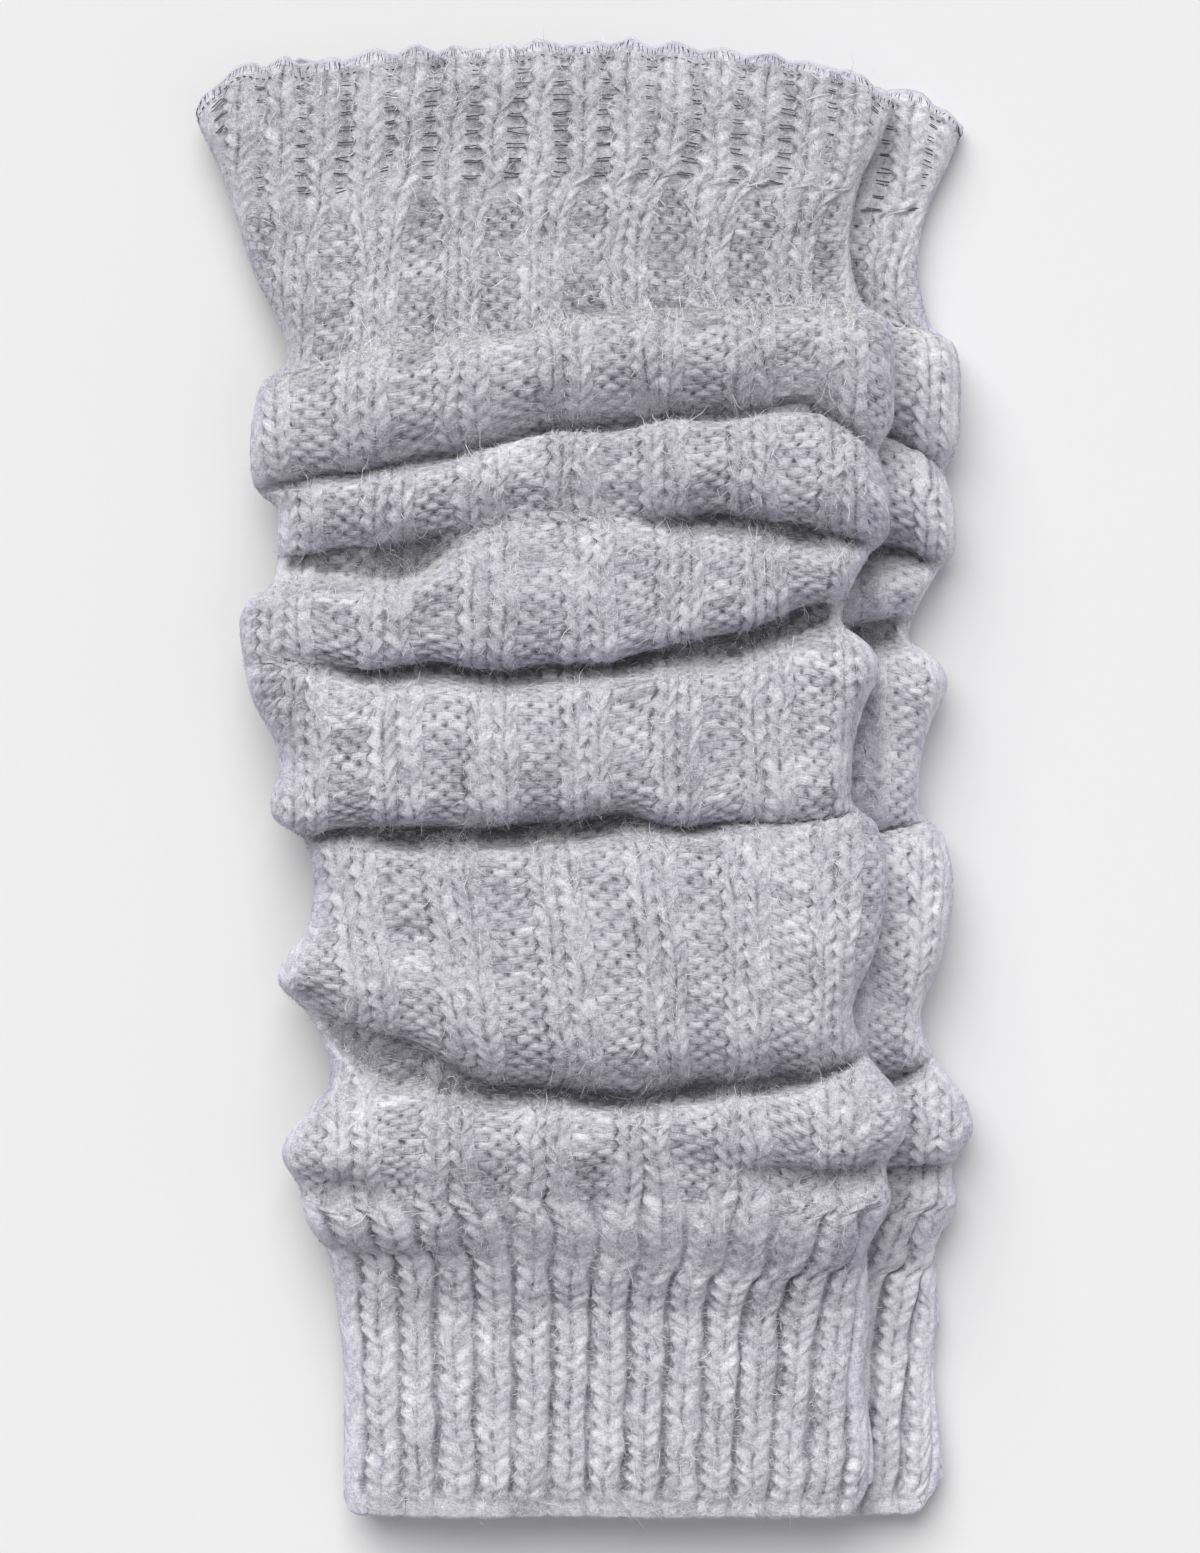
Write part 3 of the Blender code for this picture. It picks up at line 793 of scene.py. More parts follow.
    def bricks(self):
        """Height of the purl bumps, which lie like bricks: two to a half course, then one in
        the middle with a half at each edge."""
        half_course = self.line * 2 / PER_COURSE
        best = 0.0
        for neighbour in (-1, 0, 1):
            row = np.floor(half_course) + neighbour
            up = half_course - row - 0.5
            aside = np.abs((2 * self.share + 0.5 * (row % 2)) % 1 - 0.5) / 2
            spot = from_spot(aside, up, 0, 0, BRICK_HALF_WIDTH, BRICK_HALF_HEIGHT)
            best = np.maximum(best, np.sqrt(np.clip(1 - spot, 0, 1)))
        return best

    def from_place(self, *spot):
        """Squared distance of each grid point from a spot on the cloth: 1 at its rim."""
        return from_spot(self.base[..., 0] - CENTRE[0], self.base[..., 1] - CENTRE[1], *spot)

    def raise_stitches(self):
        """Moves each grid point out or in to make the stitches."""
        stand, ground, gutter, bumps = [self.values[:, c, None] for c in (2, 3, 4, 5)]
        self.phase = (self.line % PER_COURSE) / PER_COURSE
        spread = self.random.normal(size=(ALL_COURSES + 1, self.number.max() + 1))
        self.own = np.clip(spread[self.line // PER_COURSE, self.number], -2, 2)
        self.leg = self.leg_fullness(self.phase)
        self.trough = np.sin(np.pi * self.share) ** 0.6
        middle = 1 - (2 * self.share - 1) ** 8
        wide, trough = self.wide, self.trough
        grain = LEG_RELIEF * (self.leg - GRAIN_MIDDLE) * (1 + 0.2 * self.own)
        level = np.where(self.ground, ground * (trough * (1 - wide) + middle * wide), 0.0)
        level = level + np.where(self.gutter, gutter * trough, 0.0)
        bricks = bumps * (self.bricks() - GRAIN_MIDDLE) * middle
        level = level + np.where(self.ground, bricks, 0.0)
        level = level + np.where(self.legs, stand + grain, 0.0)
        level = level * (1 - FLATTENED["hem"] * self.hem)
        self.facing_up = ease(self.out[..., 1], *FACING_UP) * self.front
        self.lip = ease(-self.out[..., 1], *FACING_DOWN) * self.front
        ribbing = np.where(self.legs, 1.0, np.where(self.ground, 1 - 2 * trough, 0.5)) * wide
        level = level + LIP_RIBBING * self.lip * ribbing
        self.edge = 1 - ease(self.inside, *OUTLINE_FADES)
        start, end = ALL_COURSES - BOTTOM_FADES[0], ALL_COURSES - BOTTOM_FADES[1]
        self.bottom = ease(self.line / PER_COURSE, start, end)
        self.felt = self.felting()
        amount = ((1 - FLATTENED["felt"] * self.felt) * (1 - FLATTENED["crease"] * self.fall ** 2)
                  * (1 - FLATTENED["outline"] * self.edge))
        swell = self.uneven("swell")
        grit = GRIT * self.random.normal(size=level.shape)
        level = level * amount + (swell + grit) * self.front
        self.slub = np.zeros_like(level)
        for *spot, lift in SLUBS:
            here = np.exp(-self.from_place(*spot)) * self.front
            level = level + lift * here
            self.slub = np.maximum(self.slub, here)
        self.points = self.base + self.out * level[..., None]
        if self.which == "lower":
            self.points[..., 2] = np.maximum(self.points[..., 2], CLOTH_CLEAR)

    def felting(self):
        """How felted each grid point is: 1 where brushed fibres hide the stitches."""
        in_patches = np.clip(0.5 + self.uneven("felt"), 0, 1)
        felt = np.clip(weighted(FELT, facing_up=self.facing_up, patches=in_patches), 0, 1)
        under_roll = ease(self.lip * self.fall, *UNDER_ROLL)
        felt = np.maximum(felt, FELT_AT["outline"] * self.edge)
        felt = np.maximum(felt, FELT_AT["under_roll"] * under_roll)
        for spot in FELTED:
            at_place = np.exp(-self.from_place(*spot) ** 2) * self.front
            felt = np.maximum(felt, FELT_AT["place"] * at_place)
        felt = felt + FELT_AT["band"] * self.elastic + FELT_AT["bottom"] * self.bottom
        return np.clip(felt, 0, 1)

    def shade_stitches(self):
        """The look of each grid point: painted shade between stitches; how pale and how felted
        its yarn is, with a painted highlight round the outline; painted shadow in a crease; and
        how lavender it is, partly as painted light."""
        wide, elastic, trough = self.wide, self.elastic, self.trough
        broken = np.clip(1 + self.uneven("broken"), 0.1, 1.7)
        # Painted shade in the colour: darker in the seams between legs, in the ribs' gutters and
        # holes and on the purl ground, where shade falls between stitches.
        leg_seam_shade = LEG_SHADE[0] + LEG_SHADE[1] * elastic
        leg_seam_shade = leg_seam_shade * (1 - self.leg) ** 1.3 * broken
        hole = (0.5 + 0.5 * np.cos(2 * np.pi * (self.phase - 0.95))) ** 3 * broken
        rib_gutter_shade = trough * (0.4 + 0.6 * trough) * (1 - elastic)
        rib_gutter_shade = rib_gutter_shade * (RIB_SHADE[0] + RIB_SHADE[1] * broken)
        hole_shade = ELASTIC_SHADE[0] * trough + ELASTIC_SHADE[1] * hole * trough ** 4
        rib_gutter_shade = rib_gutter_shade + elastic * hole_shade
        fan = 1 - ease(self.line / PER_COURSE, *FAN_FADES)
        purl_ground_shade = weighted(GROUND_SHADE, fan=fan, lip=self.lip)
        deep = np.where(self.legs, leg_seam_shade, 0.0)
        deep = np.where(self.ground, purl_ground_shade * wide + rib_gutter_shade * (1 - wide), deep)
        deep = np.where(self.gutter, rib_gutter_shade * (1 - wide) + GUTTER_SHADE * wide, deep)
        deep = deep * (1 - self.hem) * (1 - PALER["bottom"] * self.bottom)
        deep = deep * (1 - PALER["outline"] * self.edge)
        broad = self.uneven("broad")
        own = np.where(self.legs, self.own, np.roll(self.own, 3, axis=0))
        # The outline's paleness is a painted highlight, and each leg warmer's own lift from LYING
        # is painted light against the shade that the upper one casts on the lower one.
        tone = weighted(TONE, fan=fan * wide, own=own, broad=broad, hem=self.hem,
                        slub=self.slub, outline=self.edge) + LYING[self.which]["painted_light"]
        # Lavender tint: the yarn's own, with painted light that adds more on lips and round the
        # outline and takes it away in creases and on cloth that faces up.
        lavender = weighted(LAVENDER_AND_PAINTED_LIGHT, lip=self.lip, facing_up=self.facing_up,
                            outline=(1 - self.inside) ** 2, hem=self.hem,
                            crease=self.fall ** 2, top=1 - ease(self.course, *TOP_FADES))
        shadow = self.fall * self.front * (1 - PALER["facing_up"] * self.facing_up)
        self.look = np.stack([np.clip(deep, 0, 1), np.clip(tone, 0, 1.2), self.felt,
                              shadow, np.clip(lavender, 0, 1)], axis=-1)

    def places(self):
        """Each strip's place at its left and at its right column: along and across the yarn
        in mm, and in the purl bumps' brick pattern, as stitches across and half courses
        down."""
        next_share = np.roll(self.share, -1)
        next_share = np.where(next_share <= self.share, 1.0, next_share)
        purl = self.ground & (self.wide > 0.5)
        half_courses = self.line * 2 / PER_COURSE
        places = []
        for share, stitch in ((self.share, self.stitch),
                              (next_share, np.roll(self.stitch, -1, axis=1))):
            stitch = np.where(stitch < self.stitch - 1, stitch + STITCHES, stitch)
            run = np.where(self.right, 1 - share, share) * LEG_LENGTH
            along = np.where(self.legs, run + 13.0 * self.number, stitch * STITCH_WIDTH)
            across = np.where(self.legs, self.line / PER_COURSE * YARN_WIDTH + 2.3 * self.number,
                              self.course * COURSE_HEIGHT)
            bump = np.where(purl, 2 * share + 4 * self.repeat, NO_PURL)
            places.append(np.stack([along, across, bump, half_courses + 0 * bump], axis=-1))
        return places


# ---- meshes --------------------------------------------------------------------------

SHELL = 3.0               # thickness of the cloth between its outer and inner surfaces
# Looks, in the order of shade_stitches: painted shade between stitches, pale, felted,
# painted shadow and lavender. The inside is painted with shade and shadow.
INSIDE_LOOK = (0.45, 0.45, 0.4, 0.4, 0.3)
RIM_LOOK = (0.05, 0.62, 0.3, 0.0, 0.7)
ELASTIC_LOOK = (0.0, 0.0, 0.0, 0.0, 0.3)
OVERLOCK_LOOK = (0.0, 0.85, 0.0, 0.0, 0.6)
RIM_TURNS = (35, 75, 120)  # degrees round a rim from its outer side
RIM_REACH = 0.7           # how far a rim bulges, as a share of half its thickness
LEG_SPLIT = 53            # the course where the leg's mesh is made in two

# Each piece: the courses that it runs from and to, and whether each of its ends is open.
PIECES = {
    "upper": (
        ("band_knit", 0, 9, True, False),
        ("leg_knit_above", 9, LEG_SPLIT, False, False),
        ("leg_knit_below", LEG_SPLIT, 97, False, False),
        ("cuff_knit", 97, 114, False, True),
    ),
    "lower": (
        ("band_knit", 0, 9, True, False),
        ("leg_knit", 9, 97, False, False),
        ("cuff_knit", 97, 114, False, True),
    ),
}

# The fans between a rough strip and a fine one: the side (0 is the strip's left) and the
# line of each corner. The fine strip lies before or after the rough one.
FANS = {
    "before": (((0, 0), (0, 1), (1, 0)), ((0, 1), (0, 2), (1, 0)),
               ((0, 2), (1, 3), (1, 0)), ((0, 2), (0, 3), (1, 3))),
    "after": (((0, 0), (1, 1), (1, 0)), ((0, 0), (1, 2), (1, 1)),
              ((0, 0), (0, 3), (1, 2)), ((0, 3), (1, 3), (1, 2))),
}


def linked(name, data):
    """A new object in the scene."""
    thing = bpy.data.objects.new(name, data)
    bpy.context.scene.collection.objects.link(thing)
    return thing


class Faces:
    """Triangles gathered from several parts of a piece, with the yarn's place at each corner."""

    def __init__(self):
        self.corners = []
        self.places = []

    def add(self, corners, places):
        """Adds triangles whose three corners each have a number and a place."""
        self.corners.append(np.stack(corners, axis=-1).reshape(-1, 3))
        self.places.append(np.stack(places, axis=-2).reshape(-1, 3, 4))

    def joined(self):
        return np.concatenate(self.corners), np.concatenate(self.places)


def outer_triangles(cloth, first, last):
    """The outer surface between two lines: fine cells, rough cells and fans between them."""
    side_places = cloth.places()
    columns = cloth.columns
    spots = cloth.points.reshape(-1, 3)
    faces = Faces()
    before = np.roll(cloth.fine, 1)
    beside = before | np.roll(cloth.fine, -1)
    for strips, step in ((np.flatnonzero(cloth.fine), 1),
                         (np.flatnonzero(~cloth.fine & ~beside), COARSE_STEP)):
        line = np.arange(first, last, step)[:, None]
        sides = (strips[None, :], (strips[None, :] + 1) % columns)
        ways = ((0, line), (0, line + step), (1, line + step), (1, line))
        corner = [at * columns + sides[side] for side, at in ways]
        place = [side_places[side][at, sides[0]] for side, at in ways]
        across = [np.linalg.norm(spots[corner[a]] - spots[corner[b]], axis=-1)
                  for a, b in ((0, 2), (1, 3))]
        short = across[0] < across[1]
        for use, order in ((short, ((0, 1, 2), (0, 2, 3))), (~short, ((0, 1, 3), (1, 2, 3)))):
            for triangle in order:
                faces.add([corner[a][use] for a in triangle], [place[a][use] for a in triangle])
    line = np.arange(first, last, COARSE_STEP)
    for strip in np.flatnonzero(~cloth.fine & beside):
        sides = (strip, (strip + 1) % columns)
        for fan in FANS["before" if before[strip] else "after"]:
            faces.add([(line + down) * columns + sides[side] for side, down in fan],
                      [side_places[side][line + down, strip] for side, down in fan])
    return faces


def ring_fan(full, corner_columns, sparse):
    """Triangles between a ring of all columns and a ring of only the corner columns."""
    rows = []
    columns = len(full)
    count = len(corner_columns)
    for i, start in enumerate(corner_columns):
        end = corner_columns[(i + 1) % count]
        span = (end - start) % columns or columns
        ring = [full[(start + t) % columns] for t in range(span + 1)]
        here, there = sparse[i], sparse[(i + 1) % count]
        middle = (span + 1) // 2
        rows += [(ring[t], ring[t + 1], here) for t in range(middle)]
        rows.append((ring[middle], there, here))
        rows += [(ring[t], ring[t + 1], there) for t in range(middle, span)]
    return np.array(rows)


def build_piece(cloth, name, start, end, open_start, open_end, material):
    """One closed piece of the tube: outer surface, inner surface and a rim at each end."""
    first, last = start * PER_COURSE, end * PER_COURSE
    columns = cloth.columns
    faces = outer_triangles(cloth, first, last)
    corner_columns = np.flatnonzero(cloth.share == 0)
    inner_grid = np.ix_(np.arange(first, last + 1, PER_COURSE), corner_columns)
    inner = (cloth.base - SHELL * cloth.out)[inner_grid]
    count = cloth.lines * columns
    ids = count + np.arange(inner[..., 0].size).reshape(inner.shape[:2])
    count += ids.size
    flat_place = np.stack([cloth.stitch * STITCH_WIDTH, cloth.course * COURSE_HEIGHT,
                           0 * cloth.stitch + NO_PURL, 0 * cloth.stitch], axis=-1)
    points = [cloth.points, inner]
    looks = [cloth.look, np.tile(INSIDE_LOOK, (ids.size, 1))]
    places = [flat_place, flat_place[inner_grid]]
    a, b = ids[:-1], ids[1:]
    c, d = np.roll(b, -1, axis=1), np.roll(a, -1, axis=1)
    extra = [np.stack([a, d, b], axis=-1), np.stack([b, d, c], axis=-1)]
    for at, inward, inner_row, is_open in ((first, 1, 0, open_start), (last, -1, -1, open_end)):
        ring = at * columns + np.arange(columns)
        if is_open:
            along = unit(cloth.base[at] - cloth.base[at + inward * PER_COURSE])
            outer_rim = cloth.points[at]
            inner_rim = cloth.base[at] - SHELL * cloth.out[at]
            half = (outer_rim - inner_rim) / 2
            centre = (outer_rim + inner_rim) / 2
            reach = np.linalg.norm(half, axis=-1, keepdims=True) * RIM_REACH
            for angle in np.radians(RIM_TURNS):
                rim = centre + half * np.cos(angle) + along * reach * np.sin(angle)
                rim[:, 2] = np.maximum(rim[:, 2], FIBRE_CLEAR)
                points.append(rim)
                looks.append(np.tile(RIM_LOOK, (columns, 1)))
                places.append(flat_place[at] + [0.0, angle * 2, 0.0, 0.0])
                new_ring = count + np.arange(columns)
                count += columns
                following = np.roll(ring, -1)
                pairs = [np.stack([ring, following, new_ring], axis=-1),
                         np.stack([following, np.roll(new_ring, -1), new_ring], axis=-1)]
                extra += [pair[:, ::inward] for pair in pairs]
                ring = new_ring
        extra.append(ring_fan(ring, corner_columns, ids[inner_row])[:, ::inward])
    extra = np.concatenate([rows.reshape(-1, 3) for rows in extra])
    points = np.concatenate([rows.reshape(-1, 3) for rows in points])
    looks = np.concatenate([rows.reshape(-1, 5) for rows in looks])
    places = np.concatenate([rows.reshape(-1, 4) for rows in places])
    faces.add(extra.T, np.moveaxis(places[extra], 1, 0))
    corners, corner_places = faces.joined()
    normals = np.concatenate([cloth.normals.reshape(-1, 3),
                              -cloth.out[inner_grid].reshape(-1, 3)])
    rim_normals = vertex_normals(points, extra)[len(normals):]
    return new_mesh(f"{cloth.which}_{name}", points, corners, material, looks,
                    np.concatenate([normals, rim_normals]), corner_places)


def vertex_normals(points, corners):
    """Smooth outward directions at the points of these triangles."""
    a, b, c = points[corners[:, 0]], points[corners[:, 1]], points[corners[:, 2]]
    face = np.cross(b - a, c - a)
    total = np.zeros_like(points)
    for axis in range(3):
        for corner in range(3):
            total[:, axis] += np.bincount(corners[:, corner], face[:, axis], len(points))
    return unit(total)


def new_mesh(name, points, corners, material, looks, normals, places=None):
    """An object from points in mm and triangles, keeping only the points in use."""
    used, corners = np.unique(corners, return_inverse=True)
    data = bpy.data.meshes.new(name)
    data.vertices.add(len(used))
    data.vertices.foreach_set("co", (points[used] * MM).astype(np.float32).ravel())
    data.loops.add(corners.size)
    data.loops.foreach_set("vertex_index", corners.ravel().astype(np.int32))
    data.polygons.add(corners.size // 3)
    data.polygons.foreach_set("loop_start", np.arange(0, corners.size, 3, dtype=np.int32))
    data.update(calc_edges=True)
    data.polygons.foreach_set("use_smooth", np.ones(corners.size // 3, bool))
    # Two colour attributes: "knit" holds painted shade between stitches, tone and felt, and the
    # second holds painted crease shadow and the lavender tint, which is partly painted light.
    for layer_name, first, last in (("knit", 0, 3), ("lie", 3, 5)):
        colours = np.ones((len(used), 4), np.float32)
        colours[:, :last - first] = looks[used, first:last]
        layer = data.color_attributes.new(layer_name, "FLOAT_COLOR", "POINT")
        layer.data.foreach_set("color", colours.ravel())
    if places is not None:
        for layer_name, first in (("yarn", 0), ("purl", 2)):
            layer = data.uv_layers.new(name=layer_name)
            layer.data.foreach_set("uv", places[..., first:first + 2].astype(np.float32).ravel())
    data.validate()
    data.normals_split_custom_set_from_vertices(normals[used])
    data.materials.append(material)
    return linked(name, data)


# ---- loose fibres and threads --------------------------------------------------------

# Loose fibres brushed up from each stretch of the cloth: how many there are.
NAP = {
    "upper": {"band_knit": 7000, "leg_knit_above": 29000, "leg_knit_below": 29000,
              "cuff_knit": 10000},
    "lower": {"band_knit": 2000, "leg_knit": 16000, "cuff_knit": 3000},
}
NAP_LENGTH = (1.4, 3.6)   # mm, from the shortest to the longest
NAP_WIDTH = (0.09, 0.17)
NAP_RISE = (0.12, 0.55)   # how far a fibre's middle stands off the cloth
NAP_TIP = (0.3, 1.9)      # how far its tip does, as a share of its middle's rise
NAP_HEADING = {"left_leg": 62.0, "right_leg": 118.0, "purl": 5.0}   # degrees from level
NAP_SPREAD = 38.0         # of those headings, in degrees
NAP_BEND = 0.6            # spread of the turn at a fibre's middle, in radians
NAP_TONE = (0.62, 0.21)   # middle and spread of how pale a fibre is
WISP_SHARE = 0.05         # of the fibres, how many are long wisps
WISP_LENGTH = (5.0, 8.5)
ELASTIC_ROWS = (0.33, 0.55)   # where in a course the two elastic threads run
ELASTIC_RADIUS = 0.16
ELASTIC_REACH = 1.12      # stitches, less half a wale, that a thread reaches to each side
ELASTIC_TONES = (0.55, 0.9)   # from the greyest thread to the palest
ELASTIC_LEVEL = -0.32     # mm from the smooth form at a thread's ends
ELASTIC_SAG = 0.22        # mm lower at its middle
THREAD_JITTER = 0.05      # stitches or courses
OVERLOCK_STEP = 0.16      # stitches between the loops that bind the top edge
OVERLOCK_RADIUS = 0.11
DASH_STEP = 0.3           # stitches between the dashes below the top edge
DASH_COURSE = 0.85
DASH_RADIUS = 0.2


def nap(cloth, name, start, end, material):
    """A joined mesh of loose fibres, as ribbons that taper to a point."""
    random = cloth.random
    wanted = NAP[cloth.which][name]
    width = (np.roll(cloth.stitch[0], -1) - cloth.stitch[0]) % STITCHES
    k = random.choice(cloth.columns, size=4 * wanted, p=width / width.sum())
    line = random.uniform(start * PER_COURSE + 2, end * PER_COURSE - 2, 4 * wanted)
    i = line.astype(int)
    lip = np.sin(np.pi * np.clip(cloth.fall[i, k] * 1.4, 0, 1))
    keep = 0.03 + 0.72 * ease(cloth.normals[i, k, 2], -0.35, 0.25)
    keep = keep * (0.8 + 0.55 * lip) * np.where(cloth.ground[k], 0.75, 1.0)
    chosen = np.flatnonzero(random.random(len(k)) < keep)[:wanted]
    i, k, lip, down_share = i[chosen], k[chosen], lip[chosen], (line - i)[chosen][:, None]
    n = (k + 1) % cloth.columns
    count = len(k)
    across_share = random.random(count)[:, None]

    def read(grid):
        rows = [grid[at, k] * (1 - across_share) + grid[at, n] * across_share
                for at in (i, i + 1)]
        return rows[0] * (1 - down_share) + rows[1] * down_share

    root = read(cloth.points)
    out = unit(read(cloth.normals) + read(cloth.out))
    down = cloth.base[i + 1, k] - cloth.base[i, k]
    down = unit(down - out * np.sum(down * out, axis=-1, keepdims=True))
    side = np.cross(down, out)
    heading = np.where(cloth.right[k], NAP_HEADING["right_leg"], NAP_HEADING["purl"])
    heading = np.where(cloth.left[k], NAP_HEADING["left_leg"], heading)
    heading = heading + 180 * random.integers(0, 2, count) + random.normal(0, NAP_SPREAD, count)
    heading = np.radians(heading)
    bend = random.normal(0, NAP_BEND, count)
    wisp = random.random(count) < WISP_SHARE * (1 + 1.5 * lip)
    near_edge = 1 - 0.6 * (1 - cloth.inside[i, k])
    spread = random.random(count)
    length = np.where(wisp, WISP_LENGTH[0] + (WISP_LENGTH[1] - WISP_LENGTH[0]) * spread,
                      NAP_LENGTH[0] + (NAP_LENGTH[1] - NAP_LENGTH[0]) * spread ** 1.5)
    step = (length * near_edge / 2)[:, None]
    rise = random.uniform(*NAP_RISE, count) * near_edge * np.where(wisp, 2.0, 1.0)
    rise = rise * (1 + lip)
    tip = rise * random.uniform(*NAP_TIP, count)
    half = random.uniform(*NAP_WIDTH, count)[:, None] / 2

    def way(angle):
        return np.cos(angle)[:, None] * side + np.sin(angle)[:, None] * down

    first = way(heading)
    second = way(heading + bend)
    middle = root + first * step + out * rise[:, None]
    point = middle + second * step + out * (tip - rise)[:, None]
    points = np.stack([
        root - np.cross(first, out) * half - 0.1 * out,
        root + np.cross(first, out) * half - 0.1 * out,
        middle - np.cross(second, out) * half * 0.8,
        middle + np.cross(second, out) * half * 0.8,
        point,
    ], axis=1)
    points[..., 2] = np.maximum(points[..., 2], FIBRE_CLEAR)
    number = 5 * np.arange(count)[:, None]
    corners = np.concatenate([number + [0, 1, 3], number + [0, 3, 2], number + [2, 3, 4]])
    look = cloth.look[i, k]
    look[:, 1] = np.clip(random.normal(*NAP_TONE, count), 0.05, 1.0)
    normals = unit(out + 0.25 * random.normal(size=out.shape))
    return new_mesh(f"{cloth.which}_{name.replace('knit', 'nap')}", points.reshape(-1, 3),
                    corners, material, np.repeat(look, 5, axis=0), np.repeat(normals, 5, axis=0))


def tubes(paths, outs, radius):
    """Points, triangles and normals of three-sided threads along these paths."""
    along = unit(np.gradient(paths, axis=1))
    side = unit(np.cross(along, outs))
    up = np.cross(side, along)
    spokes = [np.cos(a) * side + np.sin(a) * up for a in np.radians((90, 210, 330))]
    spokes = np.stack(spokes, axis=2)
    points = paths[:, :, None] + radius * spokes
    number = np.arange(points[..., 0].size).reshape(points.shape[:3])
    here, there = number[:, :-1], number[:, 1:]
    here_next, there_next = np.roll(here, -1, axis=2), np.roll(there, -1, axis=2)
    corners = np.concatenate([
        np.stack([here, here_next, there], axis=-1).reshape(-1, 3),
        np.stack([here_next, there_next, there], axis=-1).reshape(-1, 3),
        number[:, 0, ::-1],
        number[:, -1],
    ])
    return points.reshape(-1, 3), corners, spokes.reshape(-1, 3)


def elastic_threads(cloth, material):
    """The pairs of fine elastic threads that cross each gutter of the band."""
    random = cloth.random
    starts = np.array([(gutter + 1.5, row + at) for gutter in range(0, STITCHES, 2)
                       for row in range(1, COURSES[0]) for at in ELASTIC_ROWS])
    count = len(starts)
    starts = starts + random.normal(0, THREAD_JITTER, (count, 2))
    steps = np.linspace(-1, 1, 5)
    stitch = starts[:, :1] + steps * (ELASTIC_REACH - RIB["elastic"][1] / 2)
    course = starts[:, 1:] + steps * random.normal(0, THREAD_JITTER, (count, 1))
    read = read_form(cloth.form, course, stitch)
    base, outs = read[..., :3], unit(read[..., 6:9])
    level = ELASTIC_LEVEL - ELASTIC_SAG * (1 - steps ** 2) + random.normal(0, 0.08, (count, 1))
    points, corners, normals = tubes(base + outs * level[..., None], outs, ELASTIC_RADIUS)
    looks = np.tile(ELASTIC_LOOK, (len(points), 1))
    looks[:, 1] = np.repeat(random.uniform(*ELASTIC_TONES, count), len(points) // count)
    return new_mesh(f"{cloth.which}_elastic_threads", points, corners, material, looks, normals)


def edge_stitching(cloth, material):
    """The loops of fine thread that bind the top edge, and the dashes just below it."""
    random = cloth.random
    turns = np.arange(0, STITCHES, OVERLOCK_STEP)
    k = np.searchsorted(cloth.stitch[0], turns + cloth.stitch[0, 0]) % cloth.columns
    share = random.random(len(k))[:, None]

    def at(line, lift):
        point = cloth.points[line, k - 1] * (1 - share) + cloth.points[line, k] * share
        return point + cloth.out[line, k] * lift

    depth = random.integers(3, 5, len(k))
    over = unit(cloth.base[0, k] - cloth.base[6, k])
    loop = np.stack([at(depth, -0.12), at(depth - 1, 0.03), at(1, 0.03),
                     at(0, -0.4) + over * 0.1, at(0, -1.6) + over * 0.2], axis=1)
    outs = np.stack([cloth.out[2, k]] * 3 + [over] * 2, axis=1)
    loops = tubes(loop, outs, OVERLOCK_RADIUS)
    stitch = np.arange(0, STITCHES, DASH_STEP)[:, None] + 0.05 * np.arange(4)
    read = read_form(cloth.form, np.full(stitch.shape, DASH_COURSE), stitch)
    outs = unit(read[..., 6:9])
    wale = (0.5 - 0.5 * np.cos(np.pi * (stitch - 1.5)))[..., None]
    upward = unit(cloth.base[0, 0] - cloth.base[12, 0])
    dash = read[..., :3] + outs * (-0.1 + 0.45 * wale) + upward * (EDGE_SCALLOP * 0.6 * wale)
    dashes = tubes(dash, outs, DASH_RADIUS)
    points = np.concatenate([loops[0], dashes[0]])
    points[:, 2] = np.maximum(points[:, 2], FIBRE_CLEAR)
    corners = np.concatenate([loops[1], dashes[1] + len(loops[0])])
    looks = np.tile(OVERLOCK_LOOK, (len(points), 1))
    return new_mesh(f"{cloth.which}_edge_stitching", points, corners, material, looks,
                    np.concatenate([loops[2], dashes[2]]))


# ---- materials -----------------------------------------------------------------------

